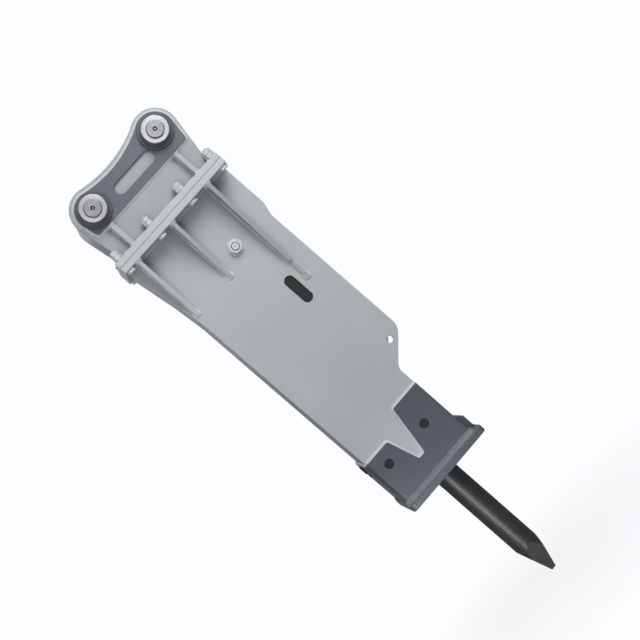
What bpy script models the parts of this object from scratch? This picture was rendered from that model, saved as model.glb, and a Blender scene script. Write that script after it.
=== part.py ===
"""Hydraulic breaker hammer with a top bracket, in its working position.

Units are metres, +Z up. The tool axis is the world Z axis and the tool points
down. The origin is on the tool axis, level with the stick pin of the bracket.
+X is the side of the housing with the valve and accumulator bulge. The near
side of the description is -Y and the far side is +Y; both are built alike.
"""
import math

import bmesh
import bpy
from mathutils import Matrix

COLLECTION_NAME = "hydraulic_breaker"
CUTTER_COLLECTION_NAME = "cutters"
GAP = 0.0003
MERGE = 0.0001
PLATE_BEVEL = 0.003
HEX_BEVEL = 0.002
EMBED = 0.005
NUT_SEAM = 0.001

# Bracket: pins, ears and flange
PIN_RADIUS = 0.045
STICK_PIN = (-0.195, 0.0)
LINK_PIN = (0.303, 0.034)
EAR_OUTER_Y = 0.268
EAR_THICKNESS = 0.036
EAR_LOBE_RADIUS = 0.124
EAR_SADDLE_RADIUS = 0.650
EAR_FOOT_X = (-0.285, 0.366)
DOUBLER_THICKNESS = 0.016
DOUBLER_LOBE_RADII = (0.097, 0.102)
DOUBLER_SADDLE_RADIUS = 0.616
DOUBLER_BOTTOM_X = (-0.276, 0.381)
DOUBLER_BOTTOM_Z = -0.105
DOUBLER_SLOT = (0.081, -0.025, 0.136, 0.034)
BRACKET_RIB_X = (-0.194, 0.286)
BRACKET_RIB_THICKNESS = 0.023
BOSS_RADII = (0.093, 0.079)
BOSS_STEPS = (0.018, 0.042)
BUSH_RADIUS = 0.062
ARM_GAP_HALF = 0.170
COLLAR_RADIUS = 0.071
COLLAR_THICKNESS = 0.024
PIN_END_STAND_OUT = 0.012

FLANGE_X = (-0.3315, 0.4175)
FLANGE_HALF_Y = 0.340
FLANGE_THICKNESS = 0.035
FLANGE_JOINT_Z = -0.297
FLANGE_BOLT_RADIUS = 0.0135
FLANGE_BOLT_Y = 0.305
FLANGE_BOLT_X = tuple(-0.296 + 0.229 * index for index in range(4))
NUT_ACROSS_FLATS = 0.044
NUT_HEIGHT = 0.022
LOCK_NUT_SHARE = 0.93
STUD_ABOVE_NUTS = 0.010
BOLT_HEAD_HEIGHT = 0.017
BRACKET_RIB_Y = 0.310

# Housing
BODY_HALF_Y = 0.190
SIDE_THICKNESS = 0.022
HOUSING_TOP_Z = FLANGE_JOINT_Z - FLANGE_THICKNESS - 2 * GAP
NOSE_FLANGE_Z = (-2.206, -2.166)
NOSE_FLANGE_X = (-0.272, 0.281)
NOSE_FLANGE_HALF_Y = 0.250
NOSE_FLANGE_BORE = 0.0953
HOUSING_BOTTOM_Z = NOSE_FLANGE_Z[1] + GAP
WALL_INSET = 0.004
WALL_THICKNESS = 0.016
NARROW_EDGE = ((-0.312, HOUSING_TOP_Z, 0), (-0.304, -0.391, 0), (-0.276, -0.610, 0.35),
               (-0.262, -0.790, 0.6), (-0.253, HOUSING_BOTTOM_Z, 0))
NARROW_SLOPE = (NARROW_EDGE[3][0] - NARROW_EDGE[4][0]) / (NARROW_EDGE[3][1] - NARROW_EDGE[4][1])
BULGE_EDGE = ((0.230, HOUSING_BOTTOM_Z, 0), (0.227, -1.672, 0.060), (0.392, -1.526, 0.085),
              (0.387, -0.668, 0.080), (0.409, -0.604, 0.080), (0.409, HOUSING_TOP_Z, 0))
BULGE_WALL_LINE = ((0.230, HOUSING_BOTTOM_Z), (0.227, -1.590), (0.391, -1.345), (0.388, -0.668),
                   (0.409, -0.604), (0.409, HOUSING_TOP_Z))
LIFT_HOLE = (0.310, -1.542, 0.018)
SLOT = (0.195, -1.023, 0.088, 0.029)
TIE_BOLT = (0.1425, -0.641)
TIE_BOLT_RADIUS = 0.014
TIE_NUT_ACROSS_FLATS = 0.066
TIE_WASHER = (0.044, 0.000, 0.006)
TIE_NUT_HEIGHT = (0.005, 0.033)
TIE_COLLAR = (0.023, 0.032, 0.037)
TIE_BOLT_END = 0.040
HOUSING_RIBS = ((-0.241, -0.729), (0.0125, -0.725), (0.275, -1.018))
HOUSING_RIB_THICKNESS = 0.021
HOUSING_RIB_TOP_Y = FLANGE_HALF_Y - 0.010
HOUSING_RIB_LIP = 0.020
HOUSING_RIB_END_HEIGHT = 0.013
LONG_RIB_STEP_Z = -0.896
LONG_RIB_STEP_HEIGHTS = (0.030, 0.016)

# Nose armour
ARMOUR_THICKNESS = 0.015
ARMOUR_X = (-0.253, 0.230)
ARMOUR_TAB_Z = (-1.869, -1.783)
END_ARMOUR_THICKNESS = 0.012
GUSSET_X = (ARMOUR_X[1] + GAP, 0.273)
GUSSET_TOP_Z = (-2.050, -2.091)
GUSSET_LENGTH = 0.240
NOTCH_TOP_X = (-0.096, 0.051)
NOTCH_BOTTOM = (-0.028, -2.049)
NOTCH_BOTTOM_HALF = 0.021
NOTCH_BOTTOM_RADIUS = 0.012
PLUG_X = (-0.172, 0.1005)
PLUG_Z = -1.952
PLUG_RADIUS = 0.025

# Power cell
TOOL_RADIUS = 0.070
TOOL_TOP_Z = -1.690
TOOL_SHOULDER_Z = -2.791
TOOL_TIP_Z = -2.988
TOOL_TIP_RADIUS = 0.014
TOOL_STROKE = 0.075
NOTCH_FLAT_X = 0.060
RETAINER_RADIUS = 0.030
RETAINER_Z = -1.930
RETAINER_HALF_LENGTH = 0.140
RUN_CLEARANCE = 0.0005
BUSH_OUTER = 0.090
UPPER_BUSH_Z = (-1.860, -1.700)
LOWER_BUSH_Z = (-2.200, -2.020)
HEAD_HALF = 0.150
HEAD_Z = (HOUSING_BOTTOM_Z, -1.390)
CYLINDER_Z = (HEAD_Z[1] + GAP, -0.690)
BACK_HEAD_HALF = 0.126
BACK_HEAD_Z = (CYLINDER_Z[1] + GAP, -0.431)
THROUGH_BOLT_OFFSET = 0.098
THROUGH_BOLT_RADIUS = 0.018
THROUGH_BOLT_BOTTOM_Z = -1.700
PISTON_STROKE = 0.130
PISTON_BOTTOM_Z = TOOL_TOP_Z + TOOL_STROKE + 0.001
PISTON_RODS = (0.069, 0.066)
PISTON_LAND = (0.079, -1.230, -1.010)
PISTON_TOP_Z = -0.640
CHAMBER_RADIUS = 0.080
CHAMBER_Z = (-1.300, PISTON_LAND[2] + PISTON_STROKE + 0.030)
GAS_CHAMBER_TOP_Z = PISTON_TOP_Z + PISTON_STROKE + 0.030
GAS_CHAMBER_RADIUS = 0.076
ACCUMULATOR_RADIUS = 0.098
ACCUMULATOR_Z = -1.200
ACCUMULATOR_X = (HEAD_HALF + GAP, 0.330)
VALVE_X = (HEAD_HALF + GAP, 0.300)
VALVE_HALF_Y = 0.090
VALVE_Z = (-1.000, -0.760)
SPOOL_X = 0.225
SPOOL_RADIUS = 0.024
SPOOL_STROKE = 0.020
SPOOL_FLOOR = 0.020
SPOOL_LENGTH = VALVE_Z[1] - VALVE_Z[0] - SPOOL_FLOOR - SPOOL_STROKE - 0.010
SPOOL_GROOVES = (0.050, 0.116)
VALVE_CAP = (0.036, 0.014)
CAP_HEXAGON = (0.038, 0.030)
CHARGING_Z = -0.560
CHARGING_HEXAGON = (0.033, 0.016)
CHARGING_STEM = (0.009, 0.040)
ADAPTER_AT = (0.250, 0.060)
ADAPTER_HEXAGON = (0.047, 0.018)
ADAPTER_NECK = (0.019, 0.055)
THROUGH_NUT = (0.052, 0.030)
UPPER_DAMPER_RADIUS = 0.100
LOWER_DAMPER_X = (-0.230, 0.205)
LOWER_DAMPER = (-2.060, 0.060)

ROUND_STEPS = 24
SMALL_STEPS = 16

# How a flat outline drawn in local X and Y stands in the world
FACING = {
    "Y": Matrix(((1, 0, 0, 0), (0, 0, -1, 0), (0, 1, 0, 0), (0, 0, 0, 1))),
    "X": Matrix(((0, 0, 1, 0), (1, 0, 0, 0), (0, 1, 0, 0), (0, 0, 0, 1))),
    "Z": Matrix.Identity(4),
}
# How a rod or a turned piece made along local Z stands on each world axis
AXIS_TURN = {
    "X": Matrix.Rotation(math.radians(90), 4, "Y"),
    "Y": Matrix.Rotation(math.radians(-90), 4, "X"),
    "Z": Matrix.Identity(4),
}
MATERIALS = {
    "grey_paint": ((0.40, 0.43, 0.44), 0.45, 0.1),
    "dark_paint": ((0.105, 0.125, 0.150), 0.45, 0.1),
    "bright_steel": ((0.56, 0.55, 0.56), 0.30, 1.0),
    "tool_steel": ((0.030, 0.030, 0.031), 0.38, 0.7),
    "cast_steel": ((0.16, 0.16, 0.17), 0.55, 0.8),
    "machined_steel": ((0.45, 0.45, 0.46), 0.28, 1.0),
    "bronze": ((0.45, 0.28, 0.10), 0.38, 1.0),
    "rubber": ((0.025, 0.025, 0.026), 0.75, 0.0),
    "urethane": ((0.45, 0.22, 0.04), 0.60, 0.0),
}


def clear_scene():
    """Remove the start-up objects and make the two collections."""
    for item in list(bpy.data.objects):
        bpy.data.objects.remove(item, do_unlink=True)
    collections = []
    for name in (COLLECTION_NAME, CUTTER_COLLECTION_NAME):
        collection = bpy.data.collections.new(name)
        bpy.context.scene.collection.children.link(collection)
        collections.append(collection)
    return collections


PARTS, CUTTERS = clear_scene()


def material(name):
    """Return the named material, made once."""
    found = bpy.data.materials.get(name)
    if found:
        return found
    colour, roughness, metallic = MATERIALS[name]
    made = bpy.data.materials.new(name)
    made.use_nodes = True
    shader = made.node_tree.nodes["Principled BSDF"]
    shader.inputs["Base Color"].default_value = (*colour, 1.0)
    shader.inputs["Roughness"].default_value = roughness
    shader.inputs["Metallic"].default_value = metallic
    return made


def add_part(name, mesh, finish, matrix=None):
    """Link a mesh as a named part with its material."""
    part = bpy.data.objects.new(name, mesh)
    PARTS.objects.link(part)
    part.matrix_world = matrix or Matrix.Identity(4)
    if finish and not mesh.materials:
        mesh.materials.append(material(finish))
    return part


def evaluated_mesh(item):
    """Return the mesh of an object with its modifiers applied."""
    graph = bpy.context.evaluated_depsgraph_get()
    graph.update()
    return bpy.data.meshes.new_from_object(item.evaluated_get(graph))


def applied(item):
    """Replace an object's mesh by the result of its modifiers."""
    mesh = evaluated_mesh(item)
    item.modifiers.clear()
    item.data = mesh
    return item


def place(at):
    return Matrix.Translation(at)


def plate(name, loops, thickness, facing, at, finish, bevel=0.0):
    """Extrude a flat outline with holes; at is the middle of its thickness."""
    curve = bpy.data.curves.new(name, "CURVE")
    curve.dimensions = "2D"
    curve.fill_mode = "BOTH"
    curve.extrude = thickness / 2
    for loop in loops:
        spline = curve.splines.new("POLY")
        spline.points.add(len(loop) - 1)
        for point, (u, v) in zip(spline.points, loop):
            point.co = (u, v, 0.0, 1.0)
        spline.use_cyclic_u = True
    drawn = bpy.data.objects.new(name + "_outline", curve)
    PARTS.objects.link(drawn)
    drawn.matrix_world = place(at) @ FACING[facing]
    mesh = evaluated_mesh(drawn)
    welded = bmesh.new()
    welded.from_mesh(mesh)
    bmesh.ops.remove_doubles(welded, verts=welded.verts, dist=MERGE / 2)
    bmesh.ops.recalc_face_normals(welded, faces=welded.faces)
    bmesh.ops.dissolve_limit(welded, angle_limit=0.001, verts=welded.verts, edges=welded.edges)
    welded.to_mesh(mesh)
    welded.free()
    matrix = drawn.matrix_world.copy()
    bpy.data.objects.remove(drawn, do_unlink=True)
    bpy.data.curves.remove(curve)
    part = add_part(name, mesh, finish, matrix)
    if bevel:
        add_bevel(part, bevel)
    return part


def add_bevel(part, width, segments=1, angle=35.0):
    """Round the sharp edges of a part."""
    bevel = part.modifiers.new("edges", "BEVEL")
    bevel.width = width
    bevel.segments = segments
    bevel.limit_method = "ANGLE"
    bevel.angle_limit = math.radians(angle)
    return applied(part)


def block(name, low, high, finish, bevel=0.0):
    """Make a box between two corners."""
    mesh = bpy.data.meshes.new(name)
    shape = bmesh.new()
    bmesh.ops.create_cube(shape, size=1.0)
    size = [b - a for a, b in zip(low, high)]
    bmesh.ops.scale(shape, vec=size, verts=shape.verts)
    shape.to_mesh(mesh)
    shape.free()
    centre = [(a + b) / 2 for a, b in zip(low, high)]
    part = add_part(name, mesh, finish, place(centre))
    if bevel:
        add_bevel(part, bevel)
    return part


def rod(name, radius, low, high, axis, at, finish, steps=SMALL_STEPS):
    """Make a cylinder (or a prism) along an axis, between two coordinates."""
    mesh = bpy.data.meshes.new(name)
    shape = bmesh.new()
    bmesh.ops.create_cone(shape, cap_ends=True, segments=steps, radius1=radius,
                          radius2=radius, depth=high - low)
    shape.to_mesh(mesh)
    shape.free()
    centre = list(at)
    centre["XYZ".index(axis)] = (low + high) / 2
    part = add_part(name, mesh, finish, place(centre) @ AXIS_TURN[axis])
    smooth(part)
    return part


def turned(name, profile, axis, at, finish, closed=False, steps=ROUND_STEPS):
    """Turn a profile of (radius, height) points, outer side from top to bottom."""
    mesh = bpy.data.meshes.new(name)
    points = [(radius, 0.0, height) for radius, height in profile]
    edges = [(index, index + 1) for index in range(len(points) - 1)]
    if closed:
        edges.append((len(points) - 1, 0))
    mesh.from_pydata(points, edges, [])
    part = add_part(name, mesh, finish, place(at) @ AXIS_TURN[axis])
    screw = part.modifiers.new("turn", "SCREW")
    screw.steps = steps
    screw.render_steps = steps
    screw.use_merge_vertices = True
    screw.merge_threshold = MERGE
    applied(part)
    outward(part)
    smooth(part)
    return part


def outward(part):
    """Point every face of a closed part outwards."""
    shape = bmesh.new()
    shape.from_mesh(part.data)
    bmesh.ops.recalc_face_normals(shape, faces=shape.faces)
    shape.to_mesh(part.data)
    shape.free()


def smooth(part, angle=30.0):
    """Shade a round piece smooth and keep its sharp edges."""
    part.data.shade_smooth()
    part.data.set_sharp_from_angle(angle=math.radians(angle))


def combine(part, other, operation):
    """Join to, or cut from, a part another solid, which becomes a guide."""
    for collection in list(other.users_collection):
        collection.objects.unlink(other)
    CUTTERS.objects.link(other)
    other.hide_render = True
    other.display_type = "WIRE"
    change = part.modifiers.new(operation.lower(), "BOOLEAN")
    change.operation = operation
    change.solver = "EXACT"
    change.object = other


def union(part, *others):
    for other in others:
        combine(part, other, "UNION")
    return part


def cut(part, *others):
    for other in others:
        combine(part, other, "DIFFERENCE")
    return part


def arc(centre, radius, start, end, count):
    """Points on an arc, angles in degrees, both ends included."""
    points = []
    for index in range(count + 1):
        angle = math.radians(start + (end - start) * index / count)
        points.append((centre[0] + radius * math.cos(angle), centre[1] + radius * math.sin(angle)))
    return points


def circle(centre, radius, count=SMALL_STEPS):
    return arc(centre, radius, 0.0, 360.0, count)[:-1]


def obround(centre, half_length, radius, along):
    """A slot outline with round ends, along u (0) or v (1)."""
    reach = half_length - radius
    if along == 0:
        left = arc((centre[0] - reach, centre[1]), radius, 90, 270, 8)
        right = arc((centre[0] + reach, centre[1]), radius, -90, 90, 8)
        return left + right
    top = arc((centre[0], centre[1] + reach), radius, 0, 180, 8)
    bottom = arc((centre[0], centre[1] - reach), radius, 180, 360, 8)
    return top + bottom


def rounded(corners):
    """Round each corner (u, v, radius) of a polygon with a tangent arc."""
    points = []
    for index, (u, v, radius) in enumerate(corners):
        if radius == 0.0:
            points.append((u, v))
            continue
        before = corners[index - 1]
        after = corners[(index + 1) % len(corners)]
        points += corner_arc((before[0], before[1]), (u, v), (after[0], after[1]), radius)
    return points


def corner_arc(before, corner, after, radius):
    """The arc that rounds one corner, from the side before to the side after."""
    into = math.atan2(before[1] - corner[1], before[0] - corner[0])
    out = math.atan2(after[1] - corner[1], after[0] - corner[0])
    half = (out - into) / 2
    reach = abs(radius / math.tan(half))
    middle = into + half
    if math.cos(half) < 0:
        middle += math.pi
    span = math.hypot(reach, radius)
    centre = (corner[0] + span * math.cos(middle), corner[1] + span * math.sin(middle))
    start = (corner[0] + reach * math.cos(into), corner[1] + reach * math.sin(into))
    end = (corner[0] + reach * math.cos(out), corner[1] + reach * math.sin(out))
    first = math.degrees(math.atan2(start[1] - centre[1], start[0] - centre[0]))
    last = math.degrees(math.atan2(end[1] - centre[1], end[0] - centre[0]))
    turn = (last - first + 180) % 360 - 180
    count = max(2, round(abs(turn) / 14))
    return arc(centre, radius, first, first + turn, count)


def rounded_box(low_u, high_u, half_v, radius):
    """A rectangle with four rounded corners."""
    return rounded([(low_u, -half_v, radius), (high_u, -half_v, radius), (high_u, half_v, radius),
                    (low_u, half_v, radius)])


def tangent_angle(point, centre, radius, side):
    """Angle (degrees) on a circle where the tangent from a point touches it."""
    du = point[0] - centre[0]
    dv = point[1] - centre[1]
    opening = math.acos(radius / math.hypot(du, dv))
    return math.degrees(math.atan2(dv, du) + side * opening)


def ear_outline(lobe_radii, saddle_radius, feet):
    """Two lobes round the pins, a hollow saddle between, straight flanks to the feet."""
    left_reach = lobe_radii[0] + saddle_radius
    right_reach = lobe_radii[1] + saddle_radius
    du = LINK_PIN[0] - STICK_PIN[0]
    dv = LINK_PIN[1] - STICK_PIN[1]
    distance = math.hypot(du, dv)
    along = (left_reach ** 2 - right_reach ** 2 + distance ** 2) / (2 * distance)
    up = math.sqrt(left_reach ** 2 - along ** 2)
    saddle = (STICK_PIN[0] + (along * du - up * dv) / distance,
              STICK_PIN[1] + (along * dv + up * du) / distance)
    left_top = math.degrees(math.atan2(saddle[1] - STICK_PIN[1], saddle[0] - STICK_PIN[0]))
    right_top = math.degrees(math.atan2(saddle[1] - LINK_PIN[1], saddle[0] - LINK_PIN[0]))
    left_foot = tangent_angle(feet[0], STICK_PIN, lobe_radii[0], -1) % 360
    right_foot = tangent_angle(feet[1], LINK_PIN, lobe_radii[1], 1)
    points = arc(STICK_PIN, lobe_radii[0], left_foot, left_top, 10)
    points += arc(saddle, saddle_radius, left_top - 180, right_top - 180, 8)[1:-1]
    points += arc(LINK_PIN, lobe_radii[1], right_top, right_foot, 10)
    return points


def hex_radius(across_flats):
    return across_flats / math.sqrt(3)


# ---------------------------------------------------------------- bracket

def bush_holes():
    return [circle(centre, BUSH_RADIUS + GAP, ROUND_STEPS) for centre in (STICK_PIN, LINK_PIN)]


def ear(side, sign):
    """One bracket cheek with its two stiffening ribs."""
    outline = ear_outline((EAR_LOBE_RADIUS,) * 2, EAR_SADDLE_RADIUS,
                          [(foot, FLANGE_JOINT_Z + FLANGE_THICKNESS + GAP) for foot in EAR_FOOT_X])
    foot_z = FLANGE_JOINT_Z + FLANGE_THICKNESS + GAP
    loop = outline + [(EAR_FOOT_X[1], foot_z), (EAR_FOOT_X[0], foot_z)]
    holes = bush_holes()
    middle = sign * (EAR_OUTER_Y - EAR_THICKNESS / 2)
    part = plate("bracket_ear_" + side, [loop] + holes, EAR_THICKNESS, "Y",
                 (0, middle, 0), "grey_paint")
    top = DOUBLER_BOTTOM_Z - 0.004
    low_y, high_y = sorted((sign * (EAR_OUTER_Y - EMBED), sign * BRACKET_RIB_Y))
    for index, rib_x in enumerate(BRACKET_RIB_X):
        rib = block(f"ear_rib_{side}_{index}", (rib_x - BRACKET_RIB_THICKNESS / 2, low_y, foot_z),
                    (rib_x + BRACKET_RIB_THICKNESS / 2, high_y, top), None)
        union(part, rib)
    return applied(part)


def doubler(side, sign):
    """The dark reinforcing plate welded on the outside of an ear."""
    feet = [(x, DOUBLER_BOTTOM_Z) for x in DOUBLER_BOTTOM_X]
    outline = ear_outline(DOUBLER_LOBE_RADII, DOUBLER_SADDLE_RADIUS, feet)
    start = outline[-1]
    end = outline[0]
    right = corner_arc(start, feet[1], feet[0], 0.016)
    left = corner_arc(feet[1], feet[0], end, 0.016)
    slot_u, slot_v, half, radius = DOUBLER_SLOT
    holes = bush_holes() + [obround((slot_u, slot_v), half, radius, 0)]
    middle = sign * (EAR_OUTER_Y + GAP + DOUBLER_THICKNESS / 2)
    return plate("ear_doubler_" + side, [outline + right + left] + holes, DOUBLER_THICKNESS, "Y",
                 (0, middle, 0), "dark_paint")


def pin_bush(name, centre, sign):
    """Flanged bush pressed through an ear and its doubler, stepped on the outside."""
    face = EAR_OUTER_Y + GAP + DOUBLER_THICKNESS + GAP
    bore = PIN_RADIUS + RUN_CLEARANCE
    profile = [
        (bore, face + BOSS_STEPS[1]), (BOSS_RADII[1], face + BOSS_STEPS[1]),
        (BOSS_RADII[1], face + BOSS_STEPS[0]), (BOSS_RADII[0], face + BOSS_STEPS[0]),
        (BOSS_RADII[0], face), (BUSH_RADIUS, face), (BUSH_RADIUS, ARM_GAP_HALF), (bore, ARM_GAP_HALF),
    ]
    return y_turned(name, profile, centre, sign, "dark_paint", closed=True)


def y_turned(name, profile, centre, sign, finish, closed=False, steps=ROUND_STEPS):
    """Turn a profile about a cross axis, its heights measured along sign * Y."""
    part = turned(name, profile, "Z", (0, 0, 0), finish, closed, steps)
    turn = Matrix.Rotation(math.radians(-90 * sign), 4, "X")
    part.matrix_world = place((centre[0], 0, centre[1])) @ turn
    return part


def bracket_pin(name, centre):
    """Greased pin through both ears, with a fixed head on the far side."""
    face = EAR_OUTER_Y + 2 * GAP + DOUBLER_THICKNESS + BOSS_STEPS[1] + GAP
    near_end = face + COLLAR_THICKNESS + PIN_END_STAND_OUT
    profile = [
        (0.0, near_end), (PIN_RADIUS - 0.003, near_end), (PIN_RADIUS, near_end - 0.003),
        (PIN_RADIUS, -face), (COLLAR_RADIUS, -face), (COLLAR_RADIUS, -face - COLLAR_THICKNESS),
        (0.0, -face - COLLAR_THICKNESS),
    ]
    return y_turned(name, profile, centre, -1, "bright_steel")


def pin_collar(name, centre):
    """Retaining ring round the near end of a pin."""
    face = EAR_OUTER_Y + 2 * GAP + DOUBLER_THICKNESS + BOSS_STEPS[1] + GAP
    bore = PIN_RADIUS + RUN_CLEARANCE
    top = face + COLLAR_THICKNESS
    profile = [(bore, top), (COLLAR_RADIUS, top), (COLLAR_RADIUS, face), (bore, face)]
    return y_turned(name, profile, centre, -1, "bright_steel", closed=True)


def flange_bolt_holes():
    return [circle((x, sign * FLANGE_BOLT_Y), FLANGE_BOLT_RADIUS + 0.001, 12)
            for x in FLANGE_BOLT_X for sign in (-1, 1)]


def flange(name, low_z, holes):
    """One of the two bolted flange plates between bracket and housing."""
    low_x, high_x = FLANGE_X
    loop = rounded_box(low_x, high_x, FLANGE_HALF_Y, 0.006)
    middle = (0, 0, low_z + FLANGE_THICKNESS / 2)
    return plate(name, [loop] + holes, FLANGE_THICKNESS, "Z", middle, "grey_paint")


def flange_bolts():
    """Eight through bolts with double nuts, all sharing one mesh."""
    joint_top = FLANGE_JOINT_Z + FLANGE_THICKNESS + GAP
    lock_top = joint_top + 2 * NUT_HEIGHT
    head_low = HOUSING_TOP_Z - BOLT_HEAD_HEIGHT
    bolt = rod("bolt_shank", FLANGE_BOLT_RADIUS, head_low + EMBED, lock_top + STUD_ABOVE_NUTS,
               "Z", (0, 0, 0), "grey_paint", 12)
    head_radius = hex_radius(NUT_ACROSS_FLATS)
    nut_top = joint_top + NUT_HEIGHT
    head = rod("bolt_head", head_radius, head_low, HOUSING_TOP_Z, "Z", (0, 0, 0), None, 6)
    nut = rod("bolt_nut", head_radius, joint_top, nut_top - NUT_SEAM, "Z", (0, 0, 0), None, 6)
    lock_nut = rod("bolt_lock_nut", head_radius * LOCK_NUT_SHARE, nut_top, lock_top, "Z", (0, 0, 0), None, 6)
    for hexagon in (head, nut, lock_nut):
        add_bevel(hexagon, HEX_BEVEL, angle=70)
    applied(union(bolt, head, nut, lock_nut))
    centre = bolt.matrix_world.translation.z
    for row, sign in (("near", -1), ("far", 1)):
        for index, x in enumerate(FLANGE_BOLT_X):
            add_part(f"flange_bolt_{row}_{index + 1}", bolt.data, None,
                     place((x, sign * FLANGE_BOLT_Y, centre)))
    bpy.data.objects.remove(bolt, do_unlink=True)


# ---------------------------------------------------------------- housing

def side_outline():
    """Outline of a housing side plate, anticlockwise from the top left corner."""
    return rounded(NARROW_EDGE + BULGE_EDGE)


def rib_outline(end_z, step_z=None):
    """A tapering rib seen from the side: (distance from the mid plane, height)."""
    root = BODY_HALF_Y - EMBED
    points = [(root, HOUSING_TOP_Z), (HOUSING_RIB_TOP_Y, HOUSING_TOP_Z),
              (HOUSING_RIB_TOP_Y, HOUSING_TOP_Z - HOUSING_RIB_LIP)]
    if step_z:
        above, below = LONG_RIB_STEP_HEIGHTS
        points += [(BODY_HALF_Y + above, step_z), (BODY_HALF_Y + below, step_z - 0.002)]
    return points + [(BODY_HALF_Y + HOUSING_RIB_END_HEIGHT, end_z), (root, end_z)]


def side_plate(side, sign):
    """One housing side plate with its three welded ribs."""
    hole_u, hole_v, hole_radius = LIFT_HOLE
    slot_u, slot_v, half, radius = SLOT
    loops = [side_outline(), circle((hole_u, hole_v), hole_radius),
             obround((slot_u, slot_v), half, radius, 1), circle(TIE_BOLT, TIE_BOLT_RADIUS + 0.001, 16)]
    middle = sign * (BODY_HALF_Y - SIDE_THICKNESS / 2)
    part = plate("side_plate_" + side, loops, SIDE_THICKNESS, "Y", (0, middle, 0), "grey_paint")
    for index, (rib_x, end_z) in enumerate(HOUSING_RIBS):
        step_z = LONG_RIB_STEP_Z if index == 2 else None
        outline = [(sign * y, z) for y, z in rib_outline(end_z, step_z)]
        label = f"side_rib_{side}_{index}"
        union(part, plate(label, [outline], HOUSING_RIB_THICKNESS, "X", (rib_x, 0, 0), None))
    return applied(part)


def offset(path, distance):
    """Shift an open path sideways, to the left of its direction, keeping the height of its two ends."""
    normals = []
    for (u0, v0), (u1, v1) in zip(path, path[1:]):
        length = math.hypot(u1 - u0, v1 - v0)
        normals.append(((v0 - v1) / length, (u1 - u0) / length))
    moved = [(path[0][0] + distance / normals[0][0], path[0][1])]
    for (u, v), before, after in zip(path[1:], normals, normals[1:]):
        across_u, across_v = before[0] + after[0], before[1] + after[1]
        reach = distance / (across_u * before[0] + across_v * before[1])
        moved.append((u + across_u * reach, v + across_v * reach))
    return moved + [(path[-1][0] + distance / normals[-1][0], path[-1][1])]


def wall(name, path):
    """A bent wall between the side plates, inside the given line."""
    loop = offset(path, WALL_INSET) + offset(path, WALL_INSET + WALL_THICKNESS)[::-1]
    depth = 2 * (BODY_HALF_Y - SIDE_THICKNESS - GAP)
    return plate(name, [loop], depth, "Y", (0, 0, 0), "grey_paint")


def walls():
    """The flared wall on the -X side and the bulge wall, which passes inside the lifting hole."""
    wall("narrow_wall", [(x, z) for x, z, radius in NARROW_EDGE])
    wall("bulge_wall", BULGE_WALL_LINE)


def nose_flange():
    """Thick bottom plate of the housing, bored for the tool bush."""
    low_x, high_x = NOSE_FLANGE_X
    low_z, high_z = NOSE_FLANGE_Z
    loops = [rounded_box(low_x, high_x, NOSE_FLANGE_HALF_Y, 0.030), circle((0, 0), NOSE_FLANGE_BORE, ROUND_STEPS)]
    return plate("nose_flange", loops, high_z - low_z, "Z", (0, 0, (low_z + high_z) / 2), "dark_paint")


def armour_outline():
    """Nose armour outline: two tabs of unlike height with a V notch between."""
    left, right = ARMOUR_X
    notch_x, notch_z = NOTCH_BOTTOM
    return rounded([
        (left, ARMOUR_TAB_Z[0], 0.006), (left, HOUSING_BOTTOM_Z, 0), (right, HOUSING_BOTTOM_Z, 0),
        (right, ARMOUR_TAB_Z[1], 0.006), (NOTCH_TOP_X[1], ARMOUR_TAB_Z[1], 0.012),
        (notch_x + NOTCH_BOTTOM_HALF, notch_z, NOTCH_BOTTOM_RADIUS),
        (notch_x - NOTCH_BOTTOM_HALF, notch_z, NOTCH_BOTTOM_RADIUS),
        (NOTCH_TOP_X[0], ARMOUR_TAB_Z[0], 0.016),
    ])


def armour(side, sign):
    """Dark wear plate welded over the nose, bored for its two plugs."""
    holes = [circle((x, PLUG_Z), PLUG_RADIUS + GAP) for x in PLUG_X]
    middle = sign * (BODY_HALF_Y + GAP + ARMOUR_THICKNESS / 2)
    return plate("nose_armour_" + side, [armour_outline()] + holes, ARMOUR_THICKNESS, "Y",
                 (0, middle, 0), "dark_paint")


def nose_plug(name, x, sign):
    """Round plug in a hole of the nose armour."""
    low = BODY_HALF_Y + 2 * GAP
    high = BODY_HALF_Y + GAP + ARMOUR_THICKNESS - 0.003
    profile = [(0.0, high), (PLUG_RADIUS - 0.002, high), (PLUG_RADIUS, high - 0.002), (PLUG_RADIUS, low),
               (0.0, low)]
    return y_turned(name, profile, (x, PLUG_Z), sign, "rubber", steps=SMALL_STEPS)


def nose_gusset():
    """Sloped block on the +X face of the nose, standing on the nose flange."""
    root, outer = GUSSET_X
    root_z, outer_z = GUSSET_TOP_Z
    outline = [(root, root_z), (root, HOUSING_BOTTOM_Z), (outer, HOUSING_BOTTOM_Z), (outer, outer_z)]
    return plate("nose_gusset", [outline], GUSSET_LENGTH, "Y", (0, 0, 0), "dark_paint", PLATE_BEVEL)


def nose_end_armour():
    """Wear plate over the -X face of the nose, between the two side armours' outer faces."""
    foot_x = NARROW_EDGE[-1][0]
    top_x = foot_x + (ARMOUR_TAB_Z[0] - HOUSING_BOTTOM_Z) * NARROW_SLOPE
    outer_x = top_x - GAP - END_ARMOUR_THICKNESS
    outline = [(top_x - GAP, ARMOUR_TAB_Z[0]), (outer_x, ARMOUR_TAB_Z[0]), (outer_x, HOUSING_BOTTOM_Z),
               (foot_x - GAP, HOUSING_BOTTOM_Z)]
    width = 2 * (BODY_HALF_Y + GAP + ARMOUR_THICKNESS)
    return plate("nose_end_armour", [outline], width, "Y", (0, 0, 0), "dark_paint", PLATE_BEVEL)


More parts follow.
